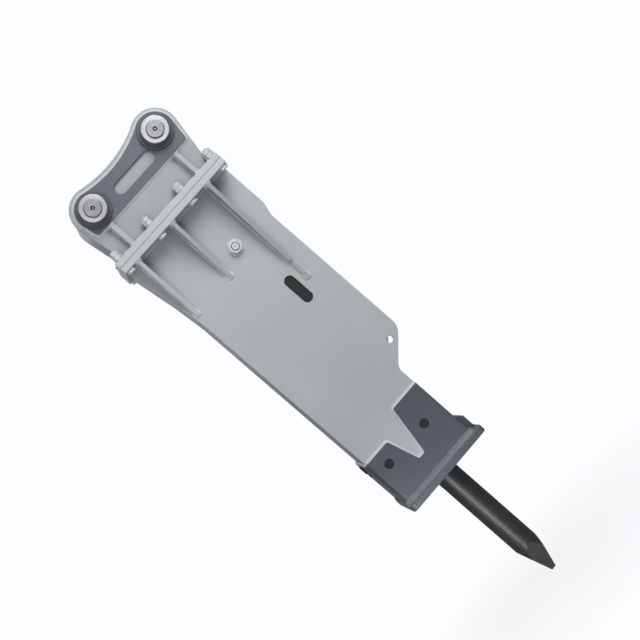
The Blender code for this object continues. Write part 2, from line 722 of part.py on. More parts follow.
def slot_cover(side, sign):
    """Rubber cover that fills the long slot of a side plate."""
    slot_u, slot_v, half, radius = SLOT
    loop = obround((slot_u, slot_v), half - GAP * 2, radius - GAP * 2, 1)
    middle = sign * (BODY_HALF_Y - 0.010)
    return plate("slot_cover_" + side, [loop], 0.014, "Y", (0, middle, 0), "rubber")


def tie_bolt():
    """Long bolt across the housing, with a washer and a nut at each end."""
    x, z = TIE_BOLT
    seat = BODY_HALF_Y + GAP
    end = seat + TIE_BOLT_END
    part = rod("tie_bolt", TIE_BOLT_RADIUS, -end, end, "Y", (x, 0, z), "grey_paint")
    nut_radius = hex_radius(TIE_NUT_ACROSS_FLATS)
    rings = (("washer", *TIE_WASHER, SMALL_STEPS), ("nut", nut_radius, *TIE_NUT_HEIGHT, 6),
             ("collar", *TIE_COLLAR, SMALL_STEPS))
    for side, sign in (("near", -1), ("far", 1)):
        for label, radius, low, high, steps in rings:
            low_y, high_y = sorted((sign * (seat + low), sign * (seat + high)))
            ring = rod(f"tie_{label}_{side}", radius, low_y, high_y, "Y", (x, 0, z), None, steps)
            union(part, ring)
    return applied(part)


# ---------------------------------------------------------------- power cell

def square_bar(name, half, low_z, high_z, corner, finish):
    loop = rounded_box(-half, half, half, corner)
    return plate(name, [loop], high_z - low_z, "Z", (0, 0, (low_z + high_z) / 2), finish)


def through_bolt_centres():
    reach = THROUGH_BOLT_OFFSET
    return [(-reach, -reach), (reach, -reach), (reach, reach), (-reach, reach)]


def drill(part, radius, low_z, high_z, centre=(0.0, 0.0), steps=ROUND_STEPS):
    """Cut a vertical bore through or into a part."""
    return cut(part, rod("bore", radius, low_z, high_z, "Z", (*centre, 0), None, steps))


def drill_bolt_holes(part, low_z, high_z):
    for centre in through_bolt_centres():
        drill(part, THROUGH_BOLT_RADIUS + 0.001, low_z, high_z, centre, SMALL_STEPS)


def back_head():
    """Block above the cylinder that holds the gas chamber."""
    part = square_bar("back_head", BACK_HEAD_HALF, *BACK_HEAD_Z, 0.024, "cast_steel")
    drill(part, GAS_CHAMBER_RADIUS, BACK_HEAD_Z[0] - 0.01, GAS_CHAMBER_TOP_Z)
    drill_bolt_holes(part, BACK_HEAD_Z[0] - 0.01, BACK_HEAD_Z[1] + 0.01)
    port_at = (0, 0, CHARGING_Z)
    cut(part, rod("valve_port", CHARGING_STEM[0], -BACK_HEAD_HALF - 0.01, -0.070, "X", port_at, None))
    return applied(part)


def cylinder_body():
    """Middle block that guides the piston."""
    low_z, high_z = CYLINDER_Z
    part = square_bar("cylinder_body", HEAD_HALF, low_z, high_z, 0.030, "cast_steel")
    drill(part, PISTON_RODS[0] + RUN_CLEARANCE, low_z - 0.01, CHAMBER_Z[0] + 0.01)
    drill(part, CHAMBER_RADIUS, *CHAMBER_Z)
    drill(part, PISTON_RODS[1] + RUN_CLEARANCE, CHAMBER_Z[1] - 0.01, high_z + 0.01)
    drill_bolt_holes(part, low_z - 0.01, high_z + 0.01)
    return applied(part)


def front_head():
    """Lower block that carries the tool bushes and the retaining pins."""
    low_z, high_z = HEAD_Z
    part = square_bar("front_head", HEAD_HALF, low_z, high_z, 0.030, "cast_steel")
    fit = BUSH_OUTER + GAP
    drill(part, fit, low_z - 0.01, LOWER_BUSH_Z[1] + GAP)
    drill(part, TOOL_RADIUS + 0.003, LOWER_BUSH_Z[1] - 0.01, UPPER_BUSH_Z[0] + 0.01)
    drill(part, fit, UPPER_BUSH_Z[0] - GAP, high_z + 0.01)
    drill_bolt_holes(part, THROUGH_BOLT_BOTTOM_Z - 0.004, high_z + 0.01)
    for sign in (-1, 1):
        x = sign * (NOTCH_FLAT_X + RETAINER_RADIUS + GAP)
        cut(part, rod("retainer_hole", RETAINER_RADIUS + GAP, -HEAD_HALF - 0.01, HEAD_HALF + 0.01, "Y",
                      (x, 0, RETAINER_Z), None))
    return applied(part)


def through_bolts():
    """Four long bolts that clamp back head, cylinder and front head."""
    top_z = BACK_HEAD_Z[1] + GAP
    across_flats, height = THROUGH_NUT
    bolt = rod("through_shank", THROUGH_BOLT_RADIUS, THROUGH_BOLT_BOTTOM_Z, top_z + height + 0.006, "Z",
               (0, 0, 0), "machined_steel")
    nut = rod("through_nut", hex_radius(across_flats), top_z, top_z + height, "Z", (0, 0, 0), None, 6)
    applied(union(bolt, nut))
    centre = bolt.matrix_world.translation.z
    for index, (x, y) in enumerate(through_bolt_centres()):
        add_part(f"through_bolt_{index + 1}", bolt.data, None, place((x, y, centre)))
    bpy.data.objects.remove(bolt, do_unlink=True)


def piston():
    """Piston with a long lower rod, a wide land and an upper rod."""
    lower, upper = PISTON_RODS
    land, land_low, land_high = PISTON_LAND
    profile = [
        (0.0, PISTON_TOP_Z), (upper - 0.006, PISTON_TOP_Z), (upper, PISTON_TOP_Z - 0.006),
        (upper, land_high), (land, land_high), (land, land_low), (lower, land_low),
        (lower, PISTON_BOTTOM_Z + 0.006), (lower - 0.006, PISTON_BOTTOM_Z), (0.0, PISTON_BOTTOM_Z),
    ]
    return turned("piston", profile, "Z", (0, 0, 0), "machined_steel")


def tool():
    """Working tool: round shank with two retaining flats and a four-sided point."""
    profile = [
        (0.0, TOOL_TOP_Z), (TOOL_RADIUS - 0.006, TOOL_TOP_Z), (TOOL_RADIUS, TOOL_TOP_Z - 0.006),
        (TOOL_RADIUS, TOOL_TIP_Z), (0.0, TOOL_TIP_Z),
    ]
    part = turned("tool", profile, "Z", (0, 0, 0), "tool_steel")
    high = RETAINER_Z + RETAINER_RADIUS + GAP
    low = RETAINER_Z - RETAINER_RADIUS - TOOL_STROKE - 0.001
    for sign in (-1, 1):
        inner = sign * NOTCH_FLAT_X
        outer = sign * (TOOL_RADIUS + 0.010)
        notch = block("tool_notch", (min(inner, outer), -0.08, low), (max(inner, outer), 0.08, high), None)
        cut(part, notch)
    point = rod("tool_point", 1.0, 0.0, 1.0, "Z", (0, 0, 0), None, 4)
    shape_point(point)
    combine(part, point, "INTERSECT")
    applied(part)
    smooth(part)
    return part


def shape_point(guide):
    """Shape the guide to a square pyramid under a tall square bar."""
    flat = TOOL_RADIUS + 0.0005
    levels = [(TOOL_TIP_Z - 0.001, TOOL_TIP_RADIUS), (TOOL_SHOULDER_Z, flat), (TOOL_TOP_Z + 0.05, flat)]
    shape = bmesh.new()
    loops = []
    for z, half in levels:
        corners = ((-half, -half), (half, -half), (half, half), (-half, half))
        loops.append([shape.verts.new((x, y, z)) for x, y in corners])
    for lower, upper in zip(loops, loops[1:]):
        for index in range(4):
            after = (index + 1) % 4
            shape.faces.new((lower[index], lower[after], upper[after], upper[index]))
    shape.faces.new(loops[0][::-1])
    shape.faces.new(loops[-1])
    shape.to_mesh(guide.data)
    shape.free()
    guide.matrix_world = Matrix.Identity(4)
    outward(guide)


def bush(name, low_z, high_z):
    """Plain bearing sleeve round the tool."""
    bore = TOOL_RADIUS + RUN_CLEARANCE
    profile = [(bore, high_z), (BUSH_OUTER, high_z), (BUSH_OUTER, low_z), (bore, low_z)]
    return turned(name, profile, "Z", (0, 0, 0), "bronze", closed=True)


def retainer(name, sign):
    """Cross pin that keeps the tool in the front head."""
    x = sign * (NOTCH_FLAT_X + RETAINER_RADIUS + GAP)
    return rod(name, RETAINER_RADIUS, -RETAINER_HALF_LENGTH, RETAINER_HALF_LENGTH, "Y",
               (x, 0, RETAINER_Z), "machined_steel")


def accumulator():
    """Round gas accumulator on the +X face of the cylinder."""
    low_x, high_x = ACCUMULATOR_X
    radius = ACCUMULATOR_RADIUS
    profile = [
        (0.0, high_x), (0.030, high_x), (0.034, high_x - 0.012), (radius - 0.030, high_x - 0.020),
        (radius, high_x - 0.050), (radius, low_x), (0.0, low_x),
    ]
    return turned("accumulator", profile, "X", (0, 0, ACCUMULATOR_Z), "cast_steel")


def valve_body():
    """Control valve block with the spool bore open at the top."""
    low_x, high_x = VALVE_X
    part = block("valve_body", (low_x, -VALVE_HALF_Y, VALVE_Z[0]), (high_x, VALVE_HALF_Y, VALVE_Z[1]),
                 "cast_steel", 0.006)
    floor = VALVE_Z[0] + SPOOL_FLOOR
    drill(part, SPOOL_RADIUS + RUN_CLEARANCE, floor, VALVE_Z[1] + 0.01, (SPOOL_X, 0.0), SMALL_STEPS)
    return applied(part)


def valve_spool():
    """Sliding spool with three lands."""
    low = VALVE_Z[0] + SPOOL_FLOOR + GAP
    high = low + SPOOL_LENGTH
    waist = SPOOL_RADIUS - 0.008
    profile = [(0.0, high), (SPOOL_RADIUS, high)]
    for below in SPOOL_GROOVES:
        top = high - below
        profile += [(SPOOL_RADIUS, top), (waist, top - 0.004), (waist, top - 0.016), (SPOOL_RADIUS, top - 0.020)]
    profile += [(SPOOL_RADIUS, low), (0.0, low)]
    return turned("valve_spool", profile, "Z", (SPOOL_X, 0, 0), "machined_steel", steps=SMALL_STEPS)


def valve_cap():
    """Flanged cap that closes the spool bore."""
    seat = VALVE_Z[1] + GAP
    radius, height = VALVE_CAP
    across_flats, top = CAP_HEXAGON
    part = rod("valve_cap", radius, seat, seat + height, "Z", (SPOOL_X, 0, 0), "machined_steel")
    union(part, rod("cap_hexagon", hex_radius(across_flats), seat + height - 0.001, seat + top, "Z",
                    (SPOOL_X, 0, 0), None, 6))
    return applied(part)


def charging_valve():
    """Gas charging valve on the -X face of the back head."""
    seat = -BACK_HEAD_HALF - GAP
    across_flats, height = CHARGING_HEXAGON
    radius, length = CHARGING_STEM
    at = (0, 0, CHARGING_Z)
    part = rod("charging_valve", hex_radius(across_flats), seat - height, seat, "X", at, "machined_steel", 6)
    union(part, rod("charging_stem", radius, seat - length, seat - height + EMBED, "X", at, None))
    return applied(part)


def hose_adapter(name, sign):
    """Threaded hose connection on top of the valve block."""
    seat = VALVE_Z[1] + GAP
    across_flats, height = ADAPTER_HEXAGON
    radius, length = ADAPTER_NECK
    at = (ADAPTER_AT[0], sign * ADAPTER_AT[1], 0)
    part = rod(name, hex_radius(across_flats), seat, seat + height, "Z", at, "machined_steel", 6)
    union(part, rod("adapter_neck", radius, seat + height - EMBED, seat + length, "Z", at, None))
    return applied(part)


def upper_damper():
    """Thick cushion between the back head and the housing flange."""
    low = BACK_HEAD_Z[1] + GAP
    high = HOUSING_TOP_Z
    radius = UPPER_DAMPER_RADIUS
    profile = [(0.0, high), (radius - 0.006, high), (radius, high - 0.006), (radius, low + 0.006),
               (radius - 0.006, low), (0.0, low)]
    return turned("upper_damper", profile, "Z", (0, 0, 0), "urethane")


def lower_damper():
    """Square cushion ring round the front head."""
    half_y = BODY_HALF_Y - SIDE_THICKNESS - 2 * GAP
    low_x, high_x = LOWER_DAMPER_X
    middle_z, height = LOWER_DAMPER
    inner = HEAD_HALF + GAP
    loop = [(low_x, -half_y), (high_x, -half_y), (high_x, half_y), (low_x, half_y)]
    hole = [(-inner, -inner), (inner, -inner), (inner, inner), (-inner, inner)]
    return plate("lower_damper", [loop, hole], height, "Z", (0, 0, middle_z), "urethane")


def build_bracket():
    for side, sign in (("near", -1), ("far", 1)):
        ear(side, sign)
        doubler(side, sign)
        pin_bush("stick_bush_" + side, STICK_PIN, sign)
        pin_bush("link_bush_" + side, LINK_PIN, sign)
    for label, centre in (("stick", STICK_PIN), ("link", LINK_PIN)):
        bracket_pin(label + "_pin", centre)
        pin_collar(label + "_pin_collar", centre)
    flange("bracket_flange", FLANGE_JOINT_Z, flange_bolt_holes())
    flange_bolts()


def build_housing():
    flange("housing_flange", FLANGE_JOINT_Z - FLANGE_THICKNESS - GAP, flange_bolt_holes())
    for side, sign in (("near", -1), ("far", 1)):
        side_plate(side, sign)
        armour(side, sign)
        slot_cover(side, sign)
        for index, x in enumerate(PLUG_X):
            nose_plug(f"nose_plug_{side}_{index + 1}", x, sign)
    walls()
    nose_flange()
    nose_gusset()
    nose_end_armour()
    tie_bolt()


def build_power_cell():
    back_head()
    cylinder_body()
    front_head()
    through_bolts()
    piston()
    tool()
    bush("upper_tool_bush", *UPPER_BUSH_Z)
    bush("lower_tool_bush", *LOWER_BUSH_Z)
    retainer("retaining_pin_left", -1)
    retainer("retaining_pin_right", 1)
    accumulator()
    valve_body()
    valve_spool()
    valve_cap()
    charging_valve()
    hose_adapter("hose_adapter_in", -1)
    hose_adapter("hose_adapter_out", 1)
    upper_damper()
    lower_damper()


build_bracket()
build_housing()
build_power_cell()
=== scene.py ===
"""Looks of the hydraulic breaker hammer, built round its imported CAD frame.

Units are metres in the frame's own axes: the tool axis is Z and the tool points
down, the near side is -Y and the far side is +Y. Plates, fasteners, pins and the
tool get finer shapes with rounded edges, and the welds between them are real
beads. The pieces inside the housing keep their CAD shape.
"""

import math

import bmesh
import bpy
from mathutils import Matrix, Vector


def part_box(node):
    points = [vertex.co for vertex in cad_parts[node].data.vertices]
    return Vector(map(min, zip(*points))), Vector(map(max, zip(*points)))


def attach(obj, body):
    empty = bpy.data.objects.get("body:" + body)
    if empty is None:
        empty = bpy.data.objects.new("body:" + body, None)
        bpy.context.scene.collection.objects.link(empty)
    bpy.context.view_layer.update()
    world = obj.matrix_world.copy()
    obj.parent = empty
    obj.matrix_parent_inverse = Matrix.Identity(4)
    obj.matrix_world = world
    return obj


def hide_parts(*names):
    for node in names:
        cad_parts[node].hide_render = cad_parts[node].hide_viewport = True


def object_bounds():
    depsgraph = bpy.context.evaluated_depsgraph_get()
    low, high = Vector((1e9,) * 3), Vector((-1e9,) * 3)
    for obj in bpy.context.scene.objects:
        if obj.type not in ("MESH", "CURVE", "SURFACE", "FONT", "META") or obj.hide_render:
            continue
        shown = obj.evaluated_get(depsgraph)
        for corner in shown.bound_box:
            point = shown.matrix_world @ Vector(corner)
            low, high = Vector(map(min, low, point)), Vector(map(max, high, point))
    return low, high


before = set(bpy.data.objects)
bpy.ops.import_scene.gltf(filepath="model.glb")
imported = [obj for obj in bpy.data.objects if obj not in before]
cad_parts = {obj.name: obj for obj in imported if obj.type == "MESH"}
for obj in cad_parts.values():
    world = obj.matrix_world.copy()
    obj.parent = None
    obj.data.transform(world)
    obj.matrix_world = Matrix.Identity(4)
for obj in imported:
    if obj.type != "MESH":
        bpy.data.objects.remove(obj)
cad_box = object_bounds()

HOUSING = "housing"
SIDES = (("near", -1), ("far", 1))

# Bracket
STICK_PIN = (-0.195, 0.0)
LINK_PIN = (0.303, 0.034)
PIN_RADIUS = 0.045
EAR_LOBE_RADII = (0.124, 0.124)
EAR_SADDLE_RADIUS = 0.650
EAR_FOOT_X = (-0.285, 0.366)
DOUBLER_LOBE_RADII = (0.097, 0.102)
DOUBLER_SADDLE_RADIUS = 0.616
DOUBLER_BOTTOM_X = (-0.276, 0.381)
DOUBLER_BOTTOM_Z = -0.105
DOUBLER_CORNER = 0.016
DOUBLER_SLOT = (0.081, -0.025, 0.136, 0.034)
BRACKET_RIB_X = (-0.194, 0.286)
BRACKET_RIB_THICKNESS = 0.023
BUSH_RADIUS = 0.062
BOSS_RADII = (0.093, 0.079)
BOSS_STEPS = (0.018, 0.042)
BORE_RADIUS = PIN_RADIUS + 0.0005
FLANGE_BOLT_RADIUS = 0.0135
NUT_ACROSS_FLATS = 0.044
NUT_HEIGHT = 0.022
GREASE_RECESS = (0.011, 0.012)

# Housing
SLOT = (0.195, -1.023, 0.088, 0.029)
LIFT_HOLE = (0.310, -1.542, 0.018)
TIE_BOLT = (0.1425, -0.641)
TIE_BOLT_RADIUS = 0.014
TIE_NUT_ACROSS_FLATS = 0.066
TIE_END_RADIUS = 0.0188
TIE_GROOVE_RADIUS = 0.0224
HOUSING_RIBS = ((-0.241, -0.729), (0.0125, -0.725), (0.275, -1.018))
HOUSING_RIB_THICKNESS = 0.021
HOUSING_RIB_TOP_Y = 0.330
# Painted light and shade: the first rib takes the lighter copy of the grey paint, the third rib the darker
# copy.
HOUSING_RIB_FINISHES = ("pale_paint", "grey_paint", "shaded_grey_paint")
LONG_RIB_STEP_Z = -0.896
WALL_INSET = 0.004
WALL_THICKNESS = 0.016
ARMOUR_TAB_Z = (-1.869, -1.783)
NOTCH_TOP_X = (-0.096, 0.051)
NOTCH_BOTTOM = (-0.028, -2.049)
NOTCH_BOTTOM_HALF = 0.021
PLUG_X = (-0.172, 0.1005)
PLUG_Z = -1.952
PLUG_HOLE_RADIUS = 0.0253
NOSE_CORNER = 0.030
NOSE_BORE_RADIUS = 0.0953
GUSSET_TOP_Z = -2.091
ARMOUR_CORNER = 0.028
RIGHT_CORNER = (0.024, 0.010)
END_ARMOUR_THICKNESS = 0.012
END_PLUGS = ((0.060, -1.905, 0.029, 0.008), (0.060, -1.952, 0.012, 0.005))

# Working tool
TOOL_RADIUS = 0.070
TOOL_SHOULDER_Z = -2.791
TOOL_TIP_HALF = 0.014
TOOL_FLAT_X = 0.060
TOOL_FLAT_Z = (-2.036, -1.8997)

# Places that follow from the frame
ARMOUR_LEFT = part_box("nose_armour_far")[0].x
ARMOUR_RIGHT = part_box("nose_armour_far")[1].x
ARMOUR_FACE_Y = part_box("nose_armour_far")[1].y
END_ARMOUR_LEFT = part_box("nose_end_armour")[0].x
EAR_FACE_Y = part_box("ear_doubler_far")[0].y
DOUBLER_FACE_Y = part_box("ear_doubler_far")[1].y
EAR_INNER_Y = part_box("bracket_ear_far")[0].y
BODY_FACE_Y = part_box("nose_armour_far")[0].y
FLANGE_TOP_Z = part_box("bracket_flange")[1].z
HOUSING_TOP_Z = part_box("housing_flange")[0].z
NOSE_TOP_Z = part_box("nose_flange")[1].z

WELD_PITCH = 0.0085
WELD_STEPS = 4
WELD_ARC = 5
ROUND_STEPS = 72

UP = Vector((0, 0, 1))
DOWN = Vector((0, 0, -1))

# How a flat outline drawn in local X and Y stands in the world
FACING = {
    "Y": Matrix(((1, 0, 0, 0), (0, 0, -1, 0), (0, 1, 0, 0), (0, 0, 0, 1))),
    "X": Matrix(((0, 0, 1, 0), (1, 0, 0, 0), (0, 1, 0, 0), (0, 0, 0, 1))),
    "Z": Matrix.Identity(4),
}


# ------------------------------------------------------------- materials

class Shader:
    """A material under construction: a Principled shader and nodes feeding it."""

    def __init__(self, name, roughness, metallic=0.0, coat=0.0, specular=0.5):
        self.material = bpy.data.materials.new(name)
        self.material.use_nodes = True
        self.tree = self.material.node_tree
        self.shader = self.tree.nodes["Principled BSDF"]
        for socket, value in (("Roughness", roughness), ("Metallic", metallic), ("Coat Weight", coat),
                              ("Specular IOR Level", specular)):
            self.shader.inputs[socket].default_value = value
        self.place = self.add("ShaderNodeTexCoord").outputs["Object"]

    def add(self, kind, inputs=None, **settings):
        node = self.tree.nodes.new(kind)
        for key, value in settings.items():
            setattr(node, key, value)
        for key, value in (inputs or {}).items():
            if isinstance(value, bpy.types.NodeSocket):
                self.tree.links.new(value, node.inputs[key])
            else:
                node.inputs[key].default_value = value
        return node

    def link(self, output, socket):
        self.tree.links.new(output, self.shader.inputs[socket])

    def noise(self, scale, detail=3.0, rough=0.5, place=None):
        inputs = {"Vector": place or self.place, "Scale": scale, "Detail": detail, "Roughness": rough}
        return self.add("ShaderNodeTexNoise", inputs).outputs["Fac"]

    def stretched(self, scale):
        """Object coordinates scaled apart on each axis, for brushed or drawn marks."""
        return self.add("ShaderNodeMapping", {"Vector": self.place, "Scale": scale}).outputs["Vector"]

    def spread(self, value, low, high, to_low, to_high):
        """Map a value from one range to another, clamped."""
        inputs = {"Value": value, "From Min": low, "From Max": high, "To Min": to_low, "To Max": to_high}
        return self.add("ShaderNodeMapRange", inputs).outputs["Result"]

    def patches(self, noise, low, high, to_low=0.0, to_high=1.0):
        """Noise, given by its scale, detail and so on, mapped to a range."""
        return self.spread(self.noise(*noise), low, high, to_low, to_high)

    def times(self, first, second):
        return self.add("ShaderNodeMath", {0: first, 1: second}, operation="MULTIPLY").outputs[0]

    def mix(self, factor, first, second):
        """Blend two colours; a plain tuple is a colour."""
        first, second = [(*value, 1.0) if isinstance(value, tuple) else value for value in (first, second)]
        return self.add("ShaderNodeMix", {0: factor, 6: first, 7: second}, data_type="RGBA").outputs[2]

    def bump(self, height, distance, strength=1.0, under=None):
        inputs = {"Height": height, "Distance": distance, "Strength": strength}
        if under is not None:
            inputs["Normal"] = under
        return self.add("ShaderNodeBump", inputs).outputs["Normal"]

    def shade_near(self, distance, inside=False):
        """How open the surface is, from 0 in a corner to 1; inside finds outer edges."""
        node = self.add("ShaderNodeAmbientOcclusion", {"Distance": distance}, inside=inside, samples=6)
        node.only_local = inside
        return node.outputs["AO"]

    def facing_up(self, low, high, to_low, to_high):
        """The height of the surface normal, mapped to a range."""
        normal = self.add("ShaderNodeNewGeometry").outputs["Normal"]
        height = self.add("ShaderNodeSeparateXYZ", {0: normal}).outputs["Z"]
        return self.spread(height, low, high, to_low, to_high)

    def dust(self, noise, low, high, to_low, to_high):
        """Patches of dust on what faces up."""
        level = self.facing_up(0.35, 1.0, 0.0, 1.0)
        return self.times(level, self.patches(noise, low, high, to_low, to_high))


def scaled(colour, factor):
    return tuple(channel * factor for channel in colour)


def paint(name, colour, roughness, corner_shade_and_grime, edge_highlight_and_wear):
    """Sprayed paint: cloudy coat, orange peel, painted shade in corners broken by grime streaks, edges
    painted lighter as highlight and thin paint, dust on top.
    """
    made = Shader(name, roughness, coat=0.10)
    cloud = made.patches((2.3, 4.0), 0.30, 0.70)
    base = made.mix(cloud, scaled(colour, 0.955), scaled(colour, 1.03))
    speck = made.patches((140.0, 6.0, 0.6), 0.56, 0.74, 0.0, 0.22)
    base = made.mix(speck, base, scaled(colour, 0.86))
    # Painted shade: where the surface is closed in, in corners and under overhangs, the colour darkens
    # toward the shade-and-grime colour, broken up by grime streaks.
    corner = made.spread(made.shade_near(0.055), 0.25, 0.85, 0.55, 0.0)
    streak = made.noise(9.0, 5.0, 0.6, made.stretched((1.0, 1.0, 0.22)))
    base = made.mix(made.times(corner, made.spread(streak, 0.30, 0.75, 0.45, 1.0)), base, corner_shade_and_grime)
    # Painted highlight: outer edges turn lighter, partly as a painted highlight and partly as paint worn
    # thin.
    edge = made.spread(made.shade_near(0.004, inside=True), 0.45, 0.80, 0.40, 0.0)
    worn = made.times(edge, made.patches((38.0, 5.0, 0.65), 0.44, 0.62, 0.15, 1.0))
    base = made.mix(worn, base, edge_highlight_and_wear)
    base = made.mix(made.dust((26.0, 6.0, 0.6), 0.35, 0.75, 0.04, 0.30), base, (0.46, 0.44, 0.40))
    made.link(base, "Base Color")
    made.link(made.patches((17.0, 5.0), 0.3, 0.7, roughness - 0.05, roughness + 0.10), "Roughness")
    rolled = made.bump(made.noise(3.4, 2.0), 0.0030, 0.6)
    peel = made.bump(made.noise(420.0, 2.0), 0.00016, 0.8, rolled)
    made.link(peel, "Normal")
    return made.material


def turned_steel(name, colour, roughness):
    """Machined steel with fine turning rings about the local Y axis and faint stains."""
    made = Shader(name, roughness, metallic=1.0)
    stain = made.patches((34.0, 6.0, 0.6), 0.35, 0.72)
    base = made.mix(stain, colour, scaled(colour, 0.84))
    freckle = made.patches((310.0, 3.0), 0.66, 0.74, 0.0, 0.35)
    base = made.mix(freckle, base, (0.20, 0.15, 0.11))
    made.link(base, "Base Color")
    rings = made.add("ShaderNodeTexWave", {"Vector": made.place, "Scale": 190.0, "Distortion": 0.4,
                                           "Detail": 2.0}, wave_type="RINGS", rings_direction="Y")
    made.link(made.patches((60.0, 4.0), 0.3, 0.7, roughness - 0.06, roughness + 0.12), "Roughness")
    made.link(made.bump(rings.outputs["Fac"], 0.00010, 0.6), "Normal")
    return made.material


def forged_steel(name, colour, roughness):
    """Blackened tool steel: faint drawn marks along Z, turning bands, stains and a paler point."""
    made = Shader(name, roughness, specular=0.50)
    drawn = made.noise(40.0, 6.0, 0.65, made.stretched((4.0, 4.0, 0.20)))
    base = made.mix(made.spread(drawn, 0.35, 0.70, 0.0, 1.0), scaled(colour, 0.90), scaled(colour, 1.12))
    pits = made.patches((85.0, 7.0, 0.7), 0.62, 0.72, 0.0, 0.45)
    base = made.mix(pits, base, scaled(colour, 0.55))
    edge = made.spread(made.shade_near(0.004, inside=True), 0.45, 0.80, 0.55, 0.0)
    base = made.mix(edge, base, (0.14, 0.14, 0.145))
    base = made.mix(made.facing_up(-0.24, -0.12, 1.0, 0.0), base, (0.034, 0.033, 0.032))
    made.link(base, "Base Color")
    made.link(made.spread(drawn, 0.3, 0.7, roughness - 0.02, roughness + 0.03), "Roughness")
    made.link(made.bump(made.noise(5.0, 2.0, 0.5, made.stretched((1.0, 1.0, 6.0))), 0.00008, 0.5), "Normal")
    return made.material


def cast(name, colour, roughness, metallic):
    """Rough cast or forged block with a sandy skin, and painted shade in its corners."""
    made = Shader(name, roughness, metallic=metallic)
    cloud = made.patches((12.0, 6.0, 0.6), 0.3, 0.7)
    base = made.mix(cloud, scaled(colour, 0.80), scaled(colour, 1.15))
    # Painted shade: closed-in corners darken to a third of the colour.
    corner = made.spread(made.shade_near(0.03), 0.3, 0.9, 0.6, 0.0)
    made.link(made.mix(corner, base, scaled(colour, 0.35)), "Base Color")
    made.link(made.spread(cloud, 0.0, 1.0, roughness - 0.06, roughness + 0.08), "Roughness")
    made.link(made.bump(made.noise(420.0, 4.0, 0.6), 0.0004, 0.7), "Normal")
    return made.material


def moulded(name, colour, roughness):
    """Moulded rubber or urethane with a fine grain and pale rubbed patches."""
    made = Shader(name, roughness, specular=0.35)
    rubbed = made.patches((21.0, 6.0, 0.65), 0.48, 0.78, 0.0, 0.55)
    base = made.mix(rubbed, colour, scaled(colour, 1.8))
    dust = made.dust((60.0, 4.0), 0.4, 0.7, 0.05, 0.30)
    made.link(made.mix(dust, base, (0.30, 0.28, 0.25)), "Base Color")
    made.link(made.spread(rubbed, 0.0, 0.55, roughness, roughness - 0.12), "Roughness")
    made.link(made.bump(made.noise(700.0, 3.0), 0.00012, 0.8), "Normal")
    return made.material


GREY = (0.405, 0.432, 0.440)
DARK = (0.098, 0.116, 0.133)
NOSE = (0.074, 0.085, 0.102)
FINISHES = {
    "grey_paint": paint("grey_coat", GREY, 0.44, (0.170, 0.155, 0.135), (0.50, 0.52, 0.525)),
    # Painted light: pale_paint is the grey paint made lighter, so the flange plates and the first housing
    # rib look more lit.
    "pale_paint": paint("lit_pale_coat", scaled(GREY, 1.14), 0.40, (0.170, 0.155, 0.135), (0.58, 0.60, 0.60)),
    "dark_paint": paint("dark_coat", DARK, 0.42, (0.050, 0.048, 0.046), (0.185, 0.200, 0.220)),
    # Painted light: the grey paint made a third lighter, so welds, bolts and nuts look more lit.
    "lit_bright_paint": paint("lit_bright_coat", scaled(GREY, 1.32), 0.40, (0.200, 0.185, 0.165), (0.60, 0.62, 0.62)),
    # Painted shade: the grey paint made darker, so the ear plates and the long housing rib look less lit.
    "shaded_grey_paint": paint("shaded_grey_coat", scaled(GREY, 0.82), 0.48, (0.150, 0.138, 0.120), (0.46, 0.48, 0.485)),
    "nose_paint": paint("nose_coat", NOSE, 0.42, (0.045, 0.043, 0.042), (0.150, 0.163, 0.180)),
    # Painted light: the dark paint made lighter, so the broad weld on top of the nose flange looks more
    # lit.
    "lit_band_paint": paint("lit_band_coat", scaled(DARK, 1.30), 0.42, (0.060, 0.058, 0.055), (0.21, 0.23, 0.25)),
    "bright_steel": turned_steel("turned_pin_steel", (0.44, 0.44, 0.45), 0.40),
    "pin_steel": turned_steel("worn_pin_steel", (0.285, 0.290, 0.305), 0.44),
    "machined_steel": turned_steel("ground_steel", (0.45, 0.45, 0.46), 0.28),
    "tool_steel": forged_steel("blackened_tool_steel", (0.012, 0.012, 0.0122), 0.46),
    "cast_steel": cast("cast_skin", (0.16, 0.16, 0.17), 0.55, 0.6),
    "bronze": cast("bush_bronze", (0.42, 0.26, 0.10), 0.38, 0.9),
    "rubber": moulded("black_rubber", (0.014, 0.0145, 0.0145), 0.66),
    "urethane": moulded("amber_urethane", (0.42, 0.20, 0.045), 0.50),
}


def dress_cad_nodes():
    """Give every CAD node that stays the detailed finish of its own material slot."""
    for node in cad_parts.values():
        for place in node.material_slots:
            place.material = FINISHES[place.material.name.split(".")[0]]


# --------------------------------------------------------- outlines and meshes

def arc(centre, radius, start, end, step=5.0):
    """Points on an arc, angles in degrees, both ends included."""
    count = max(2, math.ceil(abs(end - start) / step))
    points = []
    for index in range(count + 1):
        angle = math.radians(start + (end - start) * index / count)
        points.append((centre[0] + radius * math.cos(angle), centre[1] + radius * math.sin(angle)))
    return points


def circle(centre, radius):
    return arc(centre, radius, 0.0, 360.0)[:-1]


def obround(slot, along, shrink=0.0):
    """A slot outline (u, v, half length, end radius) along u (0) or v (1)."""
    u, v, half, radius = slot
    du, dv, start = (half - radius, 0, 90) if along == 0 else (0, half - radius, 0)
    return (arc((u - du, v + dv), radius - shrink, start, start + 180)
            + arc((u + du, v - dv), radius - shrink, start + 180, start + 360))


def bearing(centre, point):
    return math.atan2(point[1] - centre[1], point[0] - centre[0])


